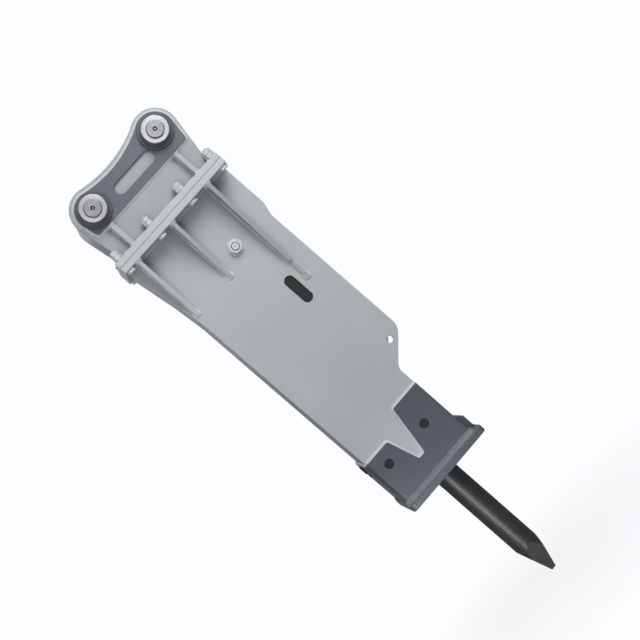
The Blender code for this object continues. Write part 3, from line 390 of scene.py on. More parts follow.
def corner_arc(before, corner, after, radius):
    """The arc that rounds one corner, from the side before to the side after."""
    into = bearing(corner, before)
    out = bearing(corner, after)
    half = (out - into) / 2
    reach = abs(radius / math.tan(half))
    middle = into + half
    if math.cos(half) < 0:
        middle += math.pi
    span = math.hypot(reach, radius)
    centre = (corner[0] + span * math.cos(middle), corner[1] + span * math.sin(middle))
    first, last = [math.degrees(bearing(centre, (corner[0] + reach * math.cos(angle),
                                                 corner[1] + reach * math.sin(angle))))
                   for angle in (into, out)]
    turn = (last - first + 180) % 360 - 180
    return arc(centre, radius, first, first + turn)


def rounded(corners):
    """Round each corner (u, v, radius) of an outline with a tangent arc."""
    points = []
    for index, (u, v, radius) in enumerate(corners):
        after = corners[(index + 1) % len(corners)]
        points += corner_arc(corners[index - 1], (u, v), after, radius) if radius else [(u, v)]
    return points


def tangent_angle(point, centre, radius, side):
    """Angle on a circle where the tangent from a point touches it."""
    return math.degrees(bearing(centre, point) + side * math.acos(radius / math.dist(centre, point)))


def ear_outline(lobe_radii, saddle_radius, feet):
    """Two lobes round the pins, a hollow saddle between, straight flanks to the feet."""
    left_reach = lobe_radii[0] + saddle_radius
    right_reach = lobe_radii[1] + saddle_radius
    du = LINK_PIN[0] - STICK_PIN[0]
    dv = LINK_PIN[1] - STICK_PIN[1]
    distance = math.hypot(du, dv)
    along = (left_reach ** 2 - right_reach ** 2 + distance ** 2) / (2 * distance)
    up = math.sqrt(left_reach ** 2 - along ** 2)
    saddle = (STICK_PIN[0] + (along * du - up * dv) / distance,
              STICK_PIN[1] + (along * dv + up * du) / distance)
    left_top, right_top = [math.degrees(bearing(pin, saddle)) for pin in (STICK_PIN, LINK_PIN)]
    left_foot = tangent_angle(feet[0], STICK_PIN, lobe_radii[0], -1) % 360
    right_foot = tangent_angle(feet[1], LINK_PIN, lobe_radii[1], 1)
    points = arc(STICK_PIN, lobe_radii[0], left_foot, left_top)
    points += arc(saddle, saddle_radius, left_top - 180, right_top - 180, 2.0)[1:-1]
    points += arc(LINK_PIN, lobe_radii[1], right_top, right_foot)
    return points


def pin_holes():
    return [circle(centre, BUSH_RADIUS) for centre in (STICK_PIN, LINK_PIN)]


def doubler_outline():
    feet = [(x, DOUBLER_BOTTOM_Z) for x in DOUBLER_BOTTOM_X]
    outline = ear_outline(DOUBLER_LOBE_RADII, DOUBLER_SADDLE_RADIUS, feet)
    right = corner_arc(outline[-1], feet[1], feet[0], DOUBLER_CORNER)
    left = corner_arc(feet[1], feet[0], outline[0], DOUBLER_CORNER)
    return outline + right + left


def narrow_side():
    """The -X edge of the housing seen from the near side, from the flange down."""
    return rounded([(-0.312, HOUSING_TOP_Z, 0), (-0.304, -0.391, 0), (-0.276, -0.610, 0.35),
                    (-0.262, -0.790, 0.6), (-0.253, NOSE_TOP_Z, 0)])


def bulge(low, high, waist):
    """The +X side of the housing from the nose up, with its three lower corners given."""
    return rounded([(0.230, NOSE_TOP_Z, 0), low, high, waist, (0.409, -0.604, 0.080),
                    (0.409, HOUSING_TOP_Z, 0)])


def bulge_side():
    return bulge((0.227, -1.672, 0.060), (0.392, -1.526, 0.085), (0.387, -0.668, 0.080))


def bulge_wall_line():
    """The +X wall passes inside the lifting hole."""
    return bulge((0.227, -1.590, 0.060), (0.391, -1.345, 0.080), (0.388, -0.668, 0.080))


def armour_outline():
    """Nose armour: two tabs of unlike height with a V notch between."""
    notch_x, notch_z = NOTCH_BOTTOM
    return rounded([
        (ARMOUR_LEFT, ARMOUR_TAB_Z[0], 0.006), (ARMOUR_LEFT, NOSE_TOP_Z, 0), (ARMOUR_RIGHT, NOSE_TOP_Z, 0),
        (ARMOUR_RIGHT, ARMOUR_TAB_Z[1], 0.006), (NOTCH_TOP_X[1], ARMOUR_TAB_Z[1], 0.012),
        (notch_x + NOTCH_BOTTOM_HALF, notch_z, 0.012), (notch_x - NOTCH_BOTTOM_HALF, notch_z, 0.012),
        (NOTCH_TOP_X[0], ARMOUR_TAB_Z[0], 0.016),
    ])


def middle_of(node):
    low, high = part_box(node)
    return (low + high) / 2


def offset(path, distance):
    """Shift an open path sideways; positive is to the left of its direction."""
    moved = []
    for index, point in enumerate(path):
        before = Vector(path[max(index - 1, 0)])
        after = Vector(path[min(index + 1, len(path) - 1)])
        here = Vector(point)
        steps = [step.normalized() for step in (here - before, after - here) if step.length > 0]
        normals = [Vector((-step.y, step.x)) for step in steps]
        middle = sum(normals, Vector((0, 0))).normalized()
        moved.append(tuple(here + middle * (distance / max(middle.dot(normals[0]), 0.5))))
    return moved


def linked(name, data):
    made = bpy.data.objects.new(name, data)
    bpy.context.scene.collection.objects.link(made)
    return made


def written(shape, mesh):
    """Write a bmesh to a mesh and free it."""
    shape.to_mesh(mesh)
    shape.free()
    return mesh


def evaluated_mesh(item):
    return bpy.data.meshes.new_from_object(item.evaluated_get(bpy.context.evaluated_depsgraph_get()))


def cut_along(shape, point, normal, **options):
    geometry = shape.verts[:] + shape.edges[:] + shape.faces[:]
    return bmesh.ops.bisect_plane(shape, geom=geometry, plane_co=point, plane_no=normal, **options)


def show(name, mesh, finish, replaces=(), body=HOUSING, at=None, sharp=40.0, weighted=True):
    """Link a finished mesh as a visible piece that rides on a body."""
    piece = linked(name, mesh)
    if at is not None:
        mesh.transform(Matrix.Translation([-value for value in at]))
        piece.location = at
    mesh.materials.clear()
    mesh.materials.append(FINISHES[finish])
    mesh.shade_smooth()
    mesh.set_sharp_from_angle(angle=math.radians(sharp))
    if weighted:
        piece.modifiers.new("flat faces stay flat", "WEIGHTED_NORMAL").keep_sharp = True
    bpy.context.view_layer.update()
    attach(piece, body)
    if replaces:
        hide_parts(*replaces)


def slab_mesh(loops, thickness, facing, at, edge):
    """Mesh of a plate cut from a flat outline with holes, all its edges rounded."""
    curve = bpy.data.curves.new("outline", "CURVE")
    curve.dimensions = "2D"
    curve.fill_mode = "BOTH"
    curve.extrude = thickness / 2 - edge
    curve.bevel_depth = edge
    curve.bevel_resolution = 2
    curve.offset = -edge
    for loop in loops:
        spline = curve.splines.new("POLY")
        spline.points.add(len(loop) - 1)
        for point, (u, v) in zip(spline.points, loop):
            point.co = (u, v, 0.0, 1.0)
        spline.use_cyclic_u = True
    drawn = linked("outline", curve)
    mesh = evaluated_mesh(drawn)
    bpy.data.objects.remove(drawn, do_unlink=True)
    bpy.data.curves.remove(curve)
    shape = bmesh.new()
    shape.from_mesh(mesh)
    bmesh.ops.remove_doubles(shape, verts=shape.verts, dist=0.00002)
    bmesh.ops.recalc_face_normals(shape, faces=shape.faces)
    written(shape, mesh)
    mesh.transform(Matrix.Translation(at) @ FACING[facing])
    return mesh


def slab(name, loops, thickness, facing, at, finish, replaces=(), edge=0.0025):
    show(name, slab_mesh(loops, thickness, facing, at, edge), finish, replaces)


def cross_plate(name, loops, inner, outer, sign, finish, node, edge):
    """Upright plate of one side, between two distances from the mid plane."""
    slab(name, loops, outer - inner, "Y", (0, sign * (inner + outer) / 2, 0), finish, [node], edge)


def joined(meshes):
    """One mesh from several."""
    shape = bmesh.new()
    for mesh in meshes:
        shape.from_mesh(mesh)
        bpy.data.meshes.remove(mesh)
    return written(shape, bpy.data.meshes.new("joined"))


def swept(rings, closed, capped=True):
    """Mesh through a row of equal rings of points."""
    shape = bmesh.new()
    rows = [[shape.verts.new(point) for point in ring] for ring in rings]
    size = len(rows[0])
    pairs = list(zip(rows, rows[1:]))
    if closed:
        pairs.append((rows[-1], rows[0]))
    for first, second in pairs:
        for index in range(size):
            after = (index + 1) % size
            shape.faces.new((first[index], first[after], second[after], second[index]))
    if capped and not closed:
        shape.faces.new(rows[0][::-1])
        shape.faces.new(rows[-1])
    bmesh.ops.remove_doubles(shape, verts=shape.verts, dist=0.000005)
    bmesh.ops.recalc_face_normals(shape, faces=shape.faces)
    return written(shape, bpy.data.meshes.new("swept"))


def lathe(profile, closed=False, steps=ROUND_STEPS):
    """Turn (radius, height) points about local Z; a closed profile makes a ring."""
    rings = []
    for radius, height in profile:
        ring = []
        for index in range(steps):
            angle = math.tau * index / steps
            ring.append((radius * math.cos(angle), radius * math.sin(angle), height))
        rings.append(ring)
    return swept(rings, closed, capped=False)


def washer(inner, outer, seat, face, edge, steps=ROUND_STEPS):
    """Flat ring from its seat to its outer face."""
    corners = [(inner, face, 0), (outer, face, edge), (outer, seat, 0), (inner, seat, 0)]
    return lathe(rounded(corners), closed=True, steps=steps)


def across(mesh, centre, sign):
    """Stand a turned mesh on a cross axis, its heights measured along sign * Y."""
    turn = Matrix.Rotation(math.radians(-90 * sign), 4, "X")
    mesh.transform(Matrix.Translation((centre[0], 0, centre[1])) @ turn)
    return mesh


def hexagon(across_flats, low, high, hole=0.0, low_chamfer=False):
    """Hexagon nut or bolt head with turned chamfers on its corners."""
    steps = 60
    rim = across_flats * 0.475
    corner = []
    for index in range(steps):
        sixth = (math.tau * index / steps) % (math.pi / 3) - math.pi / 6
        corner.append(across_flats / 2 / math.cos(sixth))

    def ring(radii, heights):
        turns = [math.tau * index / steps for index in range(steps)]
        return [(radius * math.cos(turn), radius * math.sin(turn), height)
                for radius, turn, height in zip(radii, turns, heights)]

    drop = [(radius - rim) * math.tan(math.radians(30)) for radius in corner]
    lift = drop if low_chamfer else [0.0] * steps
    rings = [ring([hole] * steps, [high] * steps), ring([rim] * steps, [high] * steps),
             ring(corner, [high - fall for fall in drop]), ring(corner, [low + rise for rise in lift]),
             ring([rim] * steps, [low] * steps), ring([hole] * steps, [low] * steps)]
    return swept(rings, closed=hole > 0, capped=False)


def threaded(radius, low, high, pitch=0.003, lead=0.002):
    """Profile of a threaded stud end with a chamfered tip, from its tip down to low."""
    profile = [(0.0, high), (radius - lead, high), (radius - 0.0004, high - lead)]
    height = high - lead
    while height - pitch > low:
        profile += [(radius - pitch * 0.42, height - pitch / 2), (radius, height - pitch)]
        height -= pitch
    return profile + [(radius, low)]


# ---------------------------------------------------------------- welds

def resampled(path, closed, step):
    """Points at an even spacing along a path of 3-D points."""
    points = [Vector(point) for point in path]
    if closed:
        points.append(points[0])
    lengths = [(b - a).length for a, b in zip(points, points[1:])]
    total = sum(lengths)
    count = max(4, round(total / step))
    stops = count if closed else count + 1
    made, index, passed = [], 0, 0.0
    for stop in range(stops):
        target = total * stop / count
        while index < len(lengths) - 1 and passed + lengths[index] < target:
            passed += lengths[index]
            index += 1
        share = (target - passed) / lengths[index] if lengths[index] else 0.0
        made.append((points[index].lerp(points[index + 1], min(share, 1.0)), target))
    return made


def bead(path, up, turn, legs, closed=False):
    """Rippled fillet weld along a path.

    One leg runs out to the side of the path (turn picks which) and the other
    along up. The scallops of the bead lag in the middle, as a real one does.
    """
    stops = resampled(path, closed, WELD_PITCH / WELD_STEPS)
    count = len(stops)
    rings = []
    for index, (point, travelled) in enumerate(stops):
        before = stops[index - 1][0] if index or closed else point
        after = stops[(index + 1) % count][0] if index < count - 1 or closed else point
        tangent = (after - before).normalized()
        out = tangent.cross(up).normalized() * turn
        swell = 1.0 + 0.05 * math.sin(travelled * 61.0) + 0.03 * math.sin(travelled * 151.0 + 1.7)
        ring = [point - (out + up) * 0.0012]
        for stop in range(WELD_ARC + 1):
            angle = math.pi / 2 * stop / WELD_ARC
            full = 0.62 / (math.cos(angle) + math.sin(angle)) + 0.36
            lag = 0.45 * math.sin(2 * angle)
            ripple = abs(math.sin(math.pi * (travelled / WELD_PITCH - lag)))
            reach = full * swell * (1.0 - 0.10 * (1.0 - ripple) * (0.35 + math.sin(2 * angle)))
            ring.append(point + out * (legs[0] * reach * math.cos(angle))
                        + up * (legs[1] * reach * math.sin(angle)))
        rings.append(ring)
    return swept(rings, closed)


def flat_path(outline, facing, at):
    """A 2-D outline as 3-D points on its plane."""
    stand = Matrix.Translation(at) @ FACING[facing]
    return [stand @ Vector((u, v, 0.0)) for u, v in outline]


def rib_beads(x, half, sign, face, reach, span, head_z, leg, head_legs):
    """Beads up both sides of a rib that stands on a plate's face, and round its head."""
    out = Vector((0, sign, 0))
    beads = []
    for turn in (-1, 1):
        upright = [(x + turn * half, sign * face, z) for z in span]
        beads.append(bead(upright, out, -turn * sign, (leg, leg)))
    head = [(x - half, face), (x - half, reach), (x + half, reach), (x + half, face)]
    beads.append(bead([(u, sign * v, head_z) for u, v in head], DOWN, sign, head_legs))
    return beads


def weld(name, beads, finish="lit_bright_paint"):
    # Welds default to the lighter copy of the grey paint: painted light.
    show(name, joined(beads), finish, sharp=80.0, weighted=False)


# ---------------------------------------------------------------- bracket

def foot_loop(half, low, high, corner=0.003):
    """Three sides of a rib's foot: down one side, round the end and up the other."""
    return [(-half, high), (-half, low + corner), (-half + corner, low), (half - corner, low),
            (half, low + corner), (half, high)]


def build_ear(side, sign):
    """Ear plate, its two ribs, and the welds that hold ribs and flange."""
    feet = [(foot, FLANGE_TOP_Z) for foot in EAR_FOOT_X]
    outline = ear_outline(EAR_LOBE_RADII, EAR_SADDLE_RADIUS, feet) + [feet[1], feet[0]]
    # The ear plate takes the darker copy of the grey paint: painted shade.
    cross_plate("ear_plate_" + side, [outline] + pin_holes(), EAR_INNER_Y, EAR_FACE_Y, sign, "shaded_grey_paint",
                "bracket_ear_" + side, 0.004)
    rib_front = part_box("bracket_ear_far")[1].y
    root = sign * (EAR_FACE_Y - 0.004)
    front = sign * rib_front
    top = DOUBLER_BOTTOM_Z - 0.006
    half = BRACKET_RIB_THICKNESS / 2
    beads = []
    for index, x in enumerate(BRACKET_RIB_X):
        loop = [(root, FLANGE_TOP_Z), (front, FLANGE_TOP_Z), (front, top), (root, top)]
        slab(f"ear_rib_{side}_{index + 1}", [loop], 2 * half, "X", (x, 0, 0), "grey_paint")
        beads += rib_beads(x, half, sign, EAR_FACE_Y, rib_front - 0.006, (FLANGE_TOP_Z, top), top, 0.007,
                           (0.016, 0.018))
        foot = [(x + u, sign * (rib_front - v), FLANGE_TOP_Z)
                for u, v in foot_loop(half, 0.0, rib_front - EAR_FACE_Y)]
        beads.append(bead(foot, UP, -sign, (0.010, 0.010)))
    for turn, face in ((1, EAR_FACE_Y), (-1, EAR_INNER_Y)):
        run = [(x, sign * face, FLANGE_TOP_Z) for x in EAR_FOOT_X]
        beads.append(bead(run, UP, -turn * sign, (0.009, 0.009)))
    weld("ear_welds_" + side, beads)


def build_doubler(side, sign):
    """Dark doubler with its long slot, and the fillet weld all round it."""
    loops = [doubler_outline()] + pin_holes() + [obround(DOUBLER_SLOT, 0)]
    cross_plate("doubler_plate_" + side, loops, EAR_FACE_Y, DOUBLER_FACE_Y, sign, "dark_paint",
                "ear_doubler_" + side, 0.002)
    path = flat_path(doubler_outline(), "Y", (0, sign * (EAR_FACE_Y - 0.0003), 0))
    fillet = bead(path, Vector((0, sign, 0)), sign, (0.014, 0.0125), closed=True)
    weld("doubler_weld_" + side, [fillet])


def build_boss(name, node, centre, sign):
    """Stepped pin boss with rounded shoulders and a bright bore edge."""
    face = DOUBLER_FACE_Y
    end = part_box(node)[0].y if sign > 0 else -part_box(node)[1].y
    profile = rounded([
        (BORE_RADIUS, face + BOSS_STEPS[1], 0.002), (BOSS_RADII[1], face + BOSS_STEPS[1], 0.003),
        (BOSS_RADII[1], face + BOSS_STEPS[0], 0.002), (BOSS_RADII[0], face + BOSS_STEPS[0], 0.004),
        (BOSS_RADII[0], face, 0), (BUSH_RADIUS, face, 0), (BUSH_RADIUS, end, 0.002),
        (BORE_RADIUS, end, 0.002),
    ])
    show(name, across(lathe(profile, closed=True), centre, sign), "nose_paint", [node])


def build_pin(label, centre):
    """Cross pin: raised near end with a greasing recess and nipple, fixed head on the far side."""
    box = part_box(label + "_pin")
    near, far = -box[0].y, -box[1].y
    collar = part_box(label + "_pin_collar")
    head_face = collar[1].y
    mouth, depth = GREASE_RECESS
    radius = (collar[1].x - collar[0].x) / 2
    floor = near - depth
    profile = rounded([
        (0.0, floor, 0), (mouth - 0.001, floor, 0), (mouth, near, 0.001), (PIN_RADIUS, near, 0.003),
        (PIN_RADIUS, head_face, 0), (radius, head_face, 0.003), (radius, far, 0.004), (0.0, far, 0),
    ])
    lining = [(0.0, floor + 0.0006), (mouth - 0.0014, floor + 0.0006), (mouth - 0.0010, near - 0.003),
              (mouth - 0.0006, near - 0.003), (mouth - 0.0006, floor + 0.0002), (0.0, floor + 0.0002)]
    nipple = [(0.0, near - 0.002), (0.0022, near - 0.0026), (0.0028, near - 0.004), (0.0020, near - 0.0055),
              (0.0045, near - 0.006), (0.0045, floor + 0.0004), (0.0, floor + 0.0004)]
    low, high = -collar[1].y, -collar[0].y
    ring = rounded([(BORE_RADIUS, high, 0.002), (radius, high, 0.003), (radius, low, 0.002),
                    (BORE_RADIUS, low, 0.001)])
    for part, mesh, finish, nodes in (
            ("_pin_turned", lathe(profile), "pin_steel", [label + "_pin"]),
            ("_recess_lining", lathe(lining, steps=48), "rubber", []),
            ("_grease_nipple", lathe(nipple, steps=24), "machined_steel", []),
            ("_collar_ring", lathe(ring, closed=True), "bright_steel", [label + "_pin_collar"])):
        show(label + part, across(mesh, centre, -1), finish, nodes, at=(centre[0], 0, centre[1]))


def build_flange(name, node, holes, finish="pale_paint", corner=0.006, edge=0.004):
    """A level flange plate with rounded corners."""
    low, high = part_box(node)
    loop = rounded([(low.x, low.y, corner), (high.x, low.y, corner), (high.x, high.y, corner),
                    (low.x, high.y, corner)])
    slab(name, [loop] + holes, high.z - low.z, "Z", (0, 0, middle_of(node).z), finish, [node], edge=edge)


def build_flange_bolts():
    """Eight through bolts, each with head, washers, two nuts and a threaded end."""
    low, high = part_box("flange_bolt_near_1")
    lift = 0.0035
    radius = NUT_ACROSS_FLATS * 0.60
    nut_top = FLANGE_TOP_Z + lift + NUT_HEIGHT
    shank = [(FLANGE_BOLT_RADIUS, low.z + 0.004), (0.0, low.z + 0.004)]
    bolt = joined([
        lathe(threaded(FLANGE_BOLT_RADIUS, FLANGE_TOP_Z, high.z) + shank, steps=32),
        washer(0.012, radius, FLANGE_TOP_Z, FLANGE_TOP_Z + lift, 0.001, 40),
        hexagon(NUT_ACROSS_FLATS, FLANGE_TOP_Z + lift, nut_top, 0.012, low_chamfer=True),
        hexagon(NUT_ACROSS_FLATS * 0.97, nut_top + 0.0006, nut_top + NUT_HEIGHT, 0.012, low_chamfer=True),
        hexagon(NUT_ACROSS_FLATS, HOUSING_TOP_Z, low.z),
        washer(0.012, radius, HOUSING_TOP_Z, HOUSING_TOP_Z - 0.003, 0.001, 40),
    ])
    for row, start in (("near", 0), ("far", 8)):
        for index in range(4):
            node = f"flange_bolt_{row}_{index + 1}"
            x, y, z = middle_of(node)
            copy = bolt.copy()
            copy.transform(Matrix.Rotation(math.radians(17 * index + start), 4, "Z"))
            copy.transform(Matrix.Translation((x, y, 0)))
            # Bolts, nuts and washers take the lighter copy of the grey paint: painted light.
            show(f"bolt_set_{row}_{index + 1}", copy, "lit_bright_paint", [node], at=(x, y, z))
    bpy.data.meshes.remove(bolt)


def build_bracket():
    for side, sign in SIDES:
        build_ear(side, sign)
        build_doubler(side, sign)
        build_boss("stick_boss_" + side, "stick_bush_" + side, STICK_PIN, sign)
        build_boss("link_boss_" + side, "link_bush_" + side, LINK_PIN, sign)
    build_pin("stick", STICK_PIN)
    build_pin("link", LINK_PIN)
    holes = [circle(middle_of(f"flange_bolt_{row}_{number}")[:2], FLANGE_BOLT_RADIUS + 0.001)
             for row in ("near", "far") for number in range(1, 5)]
    # The flange plates take the lighter copy of the grey paint: painted light.
    build_flange("upper_flange_plate", "bracket_flange", holes)
    build_flange("lower_flange_plate", "housing_flange", holes)
    build_flange_bolts()


# ---------------------------------------------------------------- housing

def rib_profile(end_z, step_z):
    """A tapering rib seen from the side: (distance from the mid plane, height)."""
    root = BODY_FACE_Y - 0.005
    points = [(root, HOUSING_TOP_Z), (HOUSING_RIB_TOP_Y, HOUSING_TOP_Z),
              (HOUSING_RIB_TOP_Y, HOUSING_TOP_Z - 0.020)]
    if step_z:
        points += [(BODY_FACE_Y + 0.030, step_z), (BODY_FACE_Y + 0.016, step_z - 0.002)]
    return points + [(BODY_FACE_Y + 0.013, end_z), (root, end_z)]


def build_side(side, sign):
    """Side plate with its ribs and all their welds."""
    loops = [narrow_side() + bulge_side(), circle(LIFT_HOLE[:2], LIFT_HOLE[2]), obround(SLOT, 1),
             circle(TIE_BOLT, TIE_BOLT_RADIUS + 0.001)]
    cross_plate("housing_side_" + side, loops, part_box("side_plate_far")[0].y, BODY_FACE_Y, sign,
                "grey_paint", "side_plate_" + side, 0.003)
    half = HOUSING_RIB_THICKNESS / 2
    face = sign * BODY_FACE_Y
    beads = []
    for index, (x, end_z) in enumerate(HOUSING_RIBS):
        loop = [(sign * y, z) for y, z in rib_profile(end_z, LONG_RIB_STEP_Z if index == 2 else None)]
        slab(f"housing_rib_{side}_{index + 1}", [loop], 2 * half, "X", (x, 0, 0),
             HOUSING_RIB_FINISHES[index])
        beads += rib_beads(x, half, sign, BODY_FACE_Y, HOUSING_RIB_TOP_Y,
                           (end_z + 0.012, HOUSING_TOP_Z - 0.006), HOUSING_TOP_Z, 0.0065, (0.013, 0.016))
        foot = [(x + u, face, z) for u, z in foot_loop(half, end_z, end_z + 0.026)]
        beads.append(bead(foot, Vector((0, sign, 0)), -sign, (0.015, 0.012)))
    run = [(x, face, HOUSING_TOP_Z) for x in (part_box("narrow_wall")[0].x, 0.400)]
    beads.append(bead(run, DOWN, sign, (0.010, 0.010)))
    weld("housing_welds_" + side, beads)


def build_walls():
    """The two narrow walls, bent to follow the side plates just inside their edges."""
    low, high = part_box("narrow_wall")
    for name, node, path in (("wall_flared", "narrow_wall", narrow_side()),
                             ("wall_bulged", "bulge_wall", bulge_wall_line())):
        loop = offset(path, WALL_INSET) + offset(path, WALL_INSET + WALL_THICKNESS)[::-1]
        slab(name, [loop], high.y - low.y, "Y", (0, 0, 0), "grey_paint", [node], edge=0.0015)


def corner_drop(inset, radius):
    """How far a round corner falls back at a distance in from its outer edge."""
    return radius - math.sqrt(max(radius ** 2 - (radius - inset) ** 2, 0.0))


def round_upright_edges(mesh, sign):
    """Turn the upright edges of the armour back; the round goes on over the end plate at the left."""
    reach, depth = RIGHT_CORNER
    shape = bmesh.new()
    shape.from_mesh(mesh)
    for index in range(6):
        for x in (ARMOUR_LEFT + ARMOUR_CORNER * index / 10, ARMOUR_RIGHT - reach * (index + 0.5) / 6):
            cut_along(shape, (x, 0, 0), (1, 0, 0))
    for vertex in shape.verts:
        if abs(vertex.co.y - sign * ARMOUR_FACE_Y) > 0.004:
            continue
        if vertex.co.x < END_ARMOUR_LEFT + ARMOUR_CORNER:
            vertex.co.y -= sign * corner_drop(vertex.co.x - END_ARMOUR_LEFT, ARMOUR_CORNER)
        elif vertex.co.x > ARMOUR_RIGHT - reach:
            vertex.co.y -= sign * corner_drop(ARMOUR_RIGHT - vertex.co.x, reach) * depth / reach
    return written(shape, mesh)


def build_nose(side, sign):
    """Nose armour with its plugs and the welds round its free edge."""
    outline = armour_outline()
    holes = [circle((x, PLUG_Z), PLUG_HOLE_RADIUS) for x in PLUG_X]
    middle = (0, sign * (BODY_FACE_Y + ARMOUR_FACE_Y) / 2, 0)
    mesh = slab_mesh([outline] + holes, ARMOUR_FACE_Y - BODY_FACE_Y, "Y", middle, 0.0015)
    show("armour_plate_" + side, round_upright_edges(mesh, sign), "nose_paint", ["nose_armour_" + side])
    for index, x in enumerate(PLUG_X):
        node = f"nose_plug_{side}_{index + 1}"
        base, top = sorted(abs(corner.y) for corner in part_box(node))
        profile = rounded([(0.0, top - 0.002, 0), (0.014, top - 0.002, 0.004), (0.019, top, 0.001),
                           (0.0245, top, 0.0015), (0.0245, base, 0), (0.0, base, 0)])
        cap = across(lathe(profile, steps=48), (x, PLUG_Z), sign)
        show(f"plug_cap_{side}_{index + 1}", cap, "rubber", [node])
    start = next(i for i, (u, v) in enumerate(outline) if v > ARMOUR_TAB_Z[1] - 0.00001)
    free_edge = [(ARMOUR_RIGHT - 0.003, ARMOUR_TAB_Z[1])] + outline[start:] + outline[:1]
    path = flat_path(free_edge, "Y", (0, sign * (BODY_FACE_Y - 0.0003), 0))
    weld("armour_welds_" + side, [bead(path, Vector((0, sign, 0)), -sign, (0.015, 0.0135))])


def build_nose_band():
    """Broad weld that ties the nose to its flange, slim at the left, where the flange hardly stands out."""
    x, y = END_ARMOUR_LEFT + ARMOUR_CORNER, ARMOUR_FACE_Y - ARMOUR_CORNER
    near, far = [(ARMOUR_RIGHT, side * ARMOUR_FACE_Y) for side in (-1, 1)]
    near_left = arc((x, -y), ARMOUR_CORNER, 230, 270)
    far_left = arc((x, y), ARMOUR_CORNER, 90, 130)
    broad = near_left + corner_arc(near_left[-1], near, far, 0.010)
    broad += corner_arc(near, far, far_left[0], 0.010) + far_left
    slim = arc((x, y), ARMOUR_CORNER, 125, 180) + arc((x, -y), ARMOUR_CORNER, 180, 235)
    beads = [bead([(*point, NOSE_TOP_Z) for point in path], UP, 1, legs)
             for path, legs in ((broad, (0.024, 0.026)), (slim, (0.0065, 0.024)))]
    # The nose band takes the lighter copy of the dark paint: painted light.
    weld("nose_band", beads, "lit_band_paint")


def build_slot_cover(side, sign):
    """Rubber cover pressed into the long slot, with a raised rim."""
    node = "slot_cover_" + side
    y = sign * (max(abs(corner.y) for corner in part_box(node)) - 0.007)
    outline = obround(SLOT, 1, 0.0006)
    cover = slab_mesh([outline], 0.012, "Y", (0, y - sign * 0.001, 0), 0.003)
    rim = slab_mesh([outline, obround(SLOT, 1, 0.006)], 0.014, "Y", (0, y, 0), 0.0018)
    show("slot_seal_" + side, joined([cover, rim]), "rubber", [node])


def build_tie_bolt():
    """Long bolt across the housing, with a washer, a nut and a thick grooved end on both sides."""
    x, z = TIE_BOLT
    seat = BODY_FACE_Y
    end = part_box("tie_bolt")[1].y
    radius, half = TIE_BOLT_RADIUS - 0.001, seat + 0.032
    meshes = [lathe([(0.0, -half), (radius, -half), (radius, half), (0.0, half)], steps=48)]
    meshes[0].transform(FACING["Y"])
    for sign in (-1, 1):
        parts = [
            washer(0.013, 0.044, seat, seat + 0.006, 0.002),
            hexagon(TIE_NUT_ACROSS_FLATS, seat + 0.006, seat + 0.033, TIE_GROOVE_RADIUS),
            lathe([(0.0, end - 0.009), (0.0036, end - 0.007), (0.0036, end), (TIE_END_RADIUS - 0.0015, end),
                   (TIE_END_RADIUS, end - 0.0015), (TIE_END_RADIUS, seat + 0.004), (0.0, seat + 0.004)]),
        ]
        meshes += [across(mesh, (0, 0), sign) for mesh in parts]
    mesh = joined(meshes)
    mesh.transform(Matrix.Translation((x, 0, z)))
    # The tie bolt, its nuts and washers take the lighter copy of the grey paint: painted light.
    show("tie_bolt_set", mesh, "lit_bright_paint", ["tie_bolt"], at=(x, 0, z))


def build_gusset():
    """Sloped block on the +X face of the nose."""
    low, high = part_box("nose_gusset")
    loop = [(low.x, high.z), (low.x, low.z), (high.x, low.z), (high.x, GUSSET_TOP_Z)]
    slab("gusset_block", [loop], high.y - low.y, "Y", (0, 0, 0), "nose_paint", ["nose_gusset"], edge=0.004)


def build_nose_end():
    """Wear plate on the -X face of the nose, its top weld and the two plugs in it."""
    low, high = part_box("nose_end_armour")
    inner_x = low.x + END_ARMOUR_THICKNESS
    start = math.degrees(math.acos(1.0 - END_ARMOUR_THICKNESS / ARMOUR_CORNER))
    far, near = [arc((low.x + ARMOUR_CORNER, side * (high.y - ARMOUR_CORNER)), ARMOUR_CORNER, 180,
                     180 - side * start) for side in (1, -1)]
    mesh = slab_mesh([far + near[::-1]], high.z - low.z, "Z", (0, 0, (low.z + high.z) / 2), 0.0010)
    lean = (ARMOUR_LEFT - inner_x) / (high.z - low.z)
    for vertex in mesh.vertices:
        vertex.co.x += lean * (high.z - vertex.co.z)
    show("nose_end_plate", mesh, "nose_paint", ["nose_end_armour"])
    path = [(inner_x, y, high.z - 0.001) for y in (-BODY_FACE_Y, BODY_FACE_Y)]
    weld("nose_end_weld", [bead(path, Vector((-1, 0, 0)), 1, (0.013, 0.011))])
    for index, (y, z, radius, stand) in enumerate(END_PLUGS):
        mesh = lathe(rounded([(0.0, stand, 0), (radius - 0.002, stand, 0), (radius, stand - 0.003, 0.001),
                              (radius, -0.002, 0), (0.0, -0.002, 0)]), steps=48)
        mesh.transform(Matrix.Translation((low.x, y, z)) @ Matrix.Rotation(math.radians(-90), 4, "Y"))
        show(f"nose_end_plug_{index + 1}", mesh, "rubber")


def build_housing():
    for side, sign in SIDES:
        build_side(side, sign)
        build_nose(side, sign)
        build_slot_cover(side, sign)
    build_walls()
    bore = circle((0, 0), NOSE_BORE_RADIUS)
    build_flange("nose_plate", "nose_flange", [bore], "nose_paint", NOSE_CORNER, 0.005)
    build_gusset()
    build_nose_end()
    build_nose_band()
    build_tie_bolt()


# ---------------------------------------------------------------- working tool

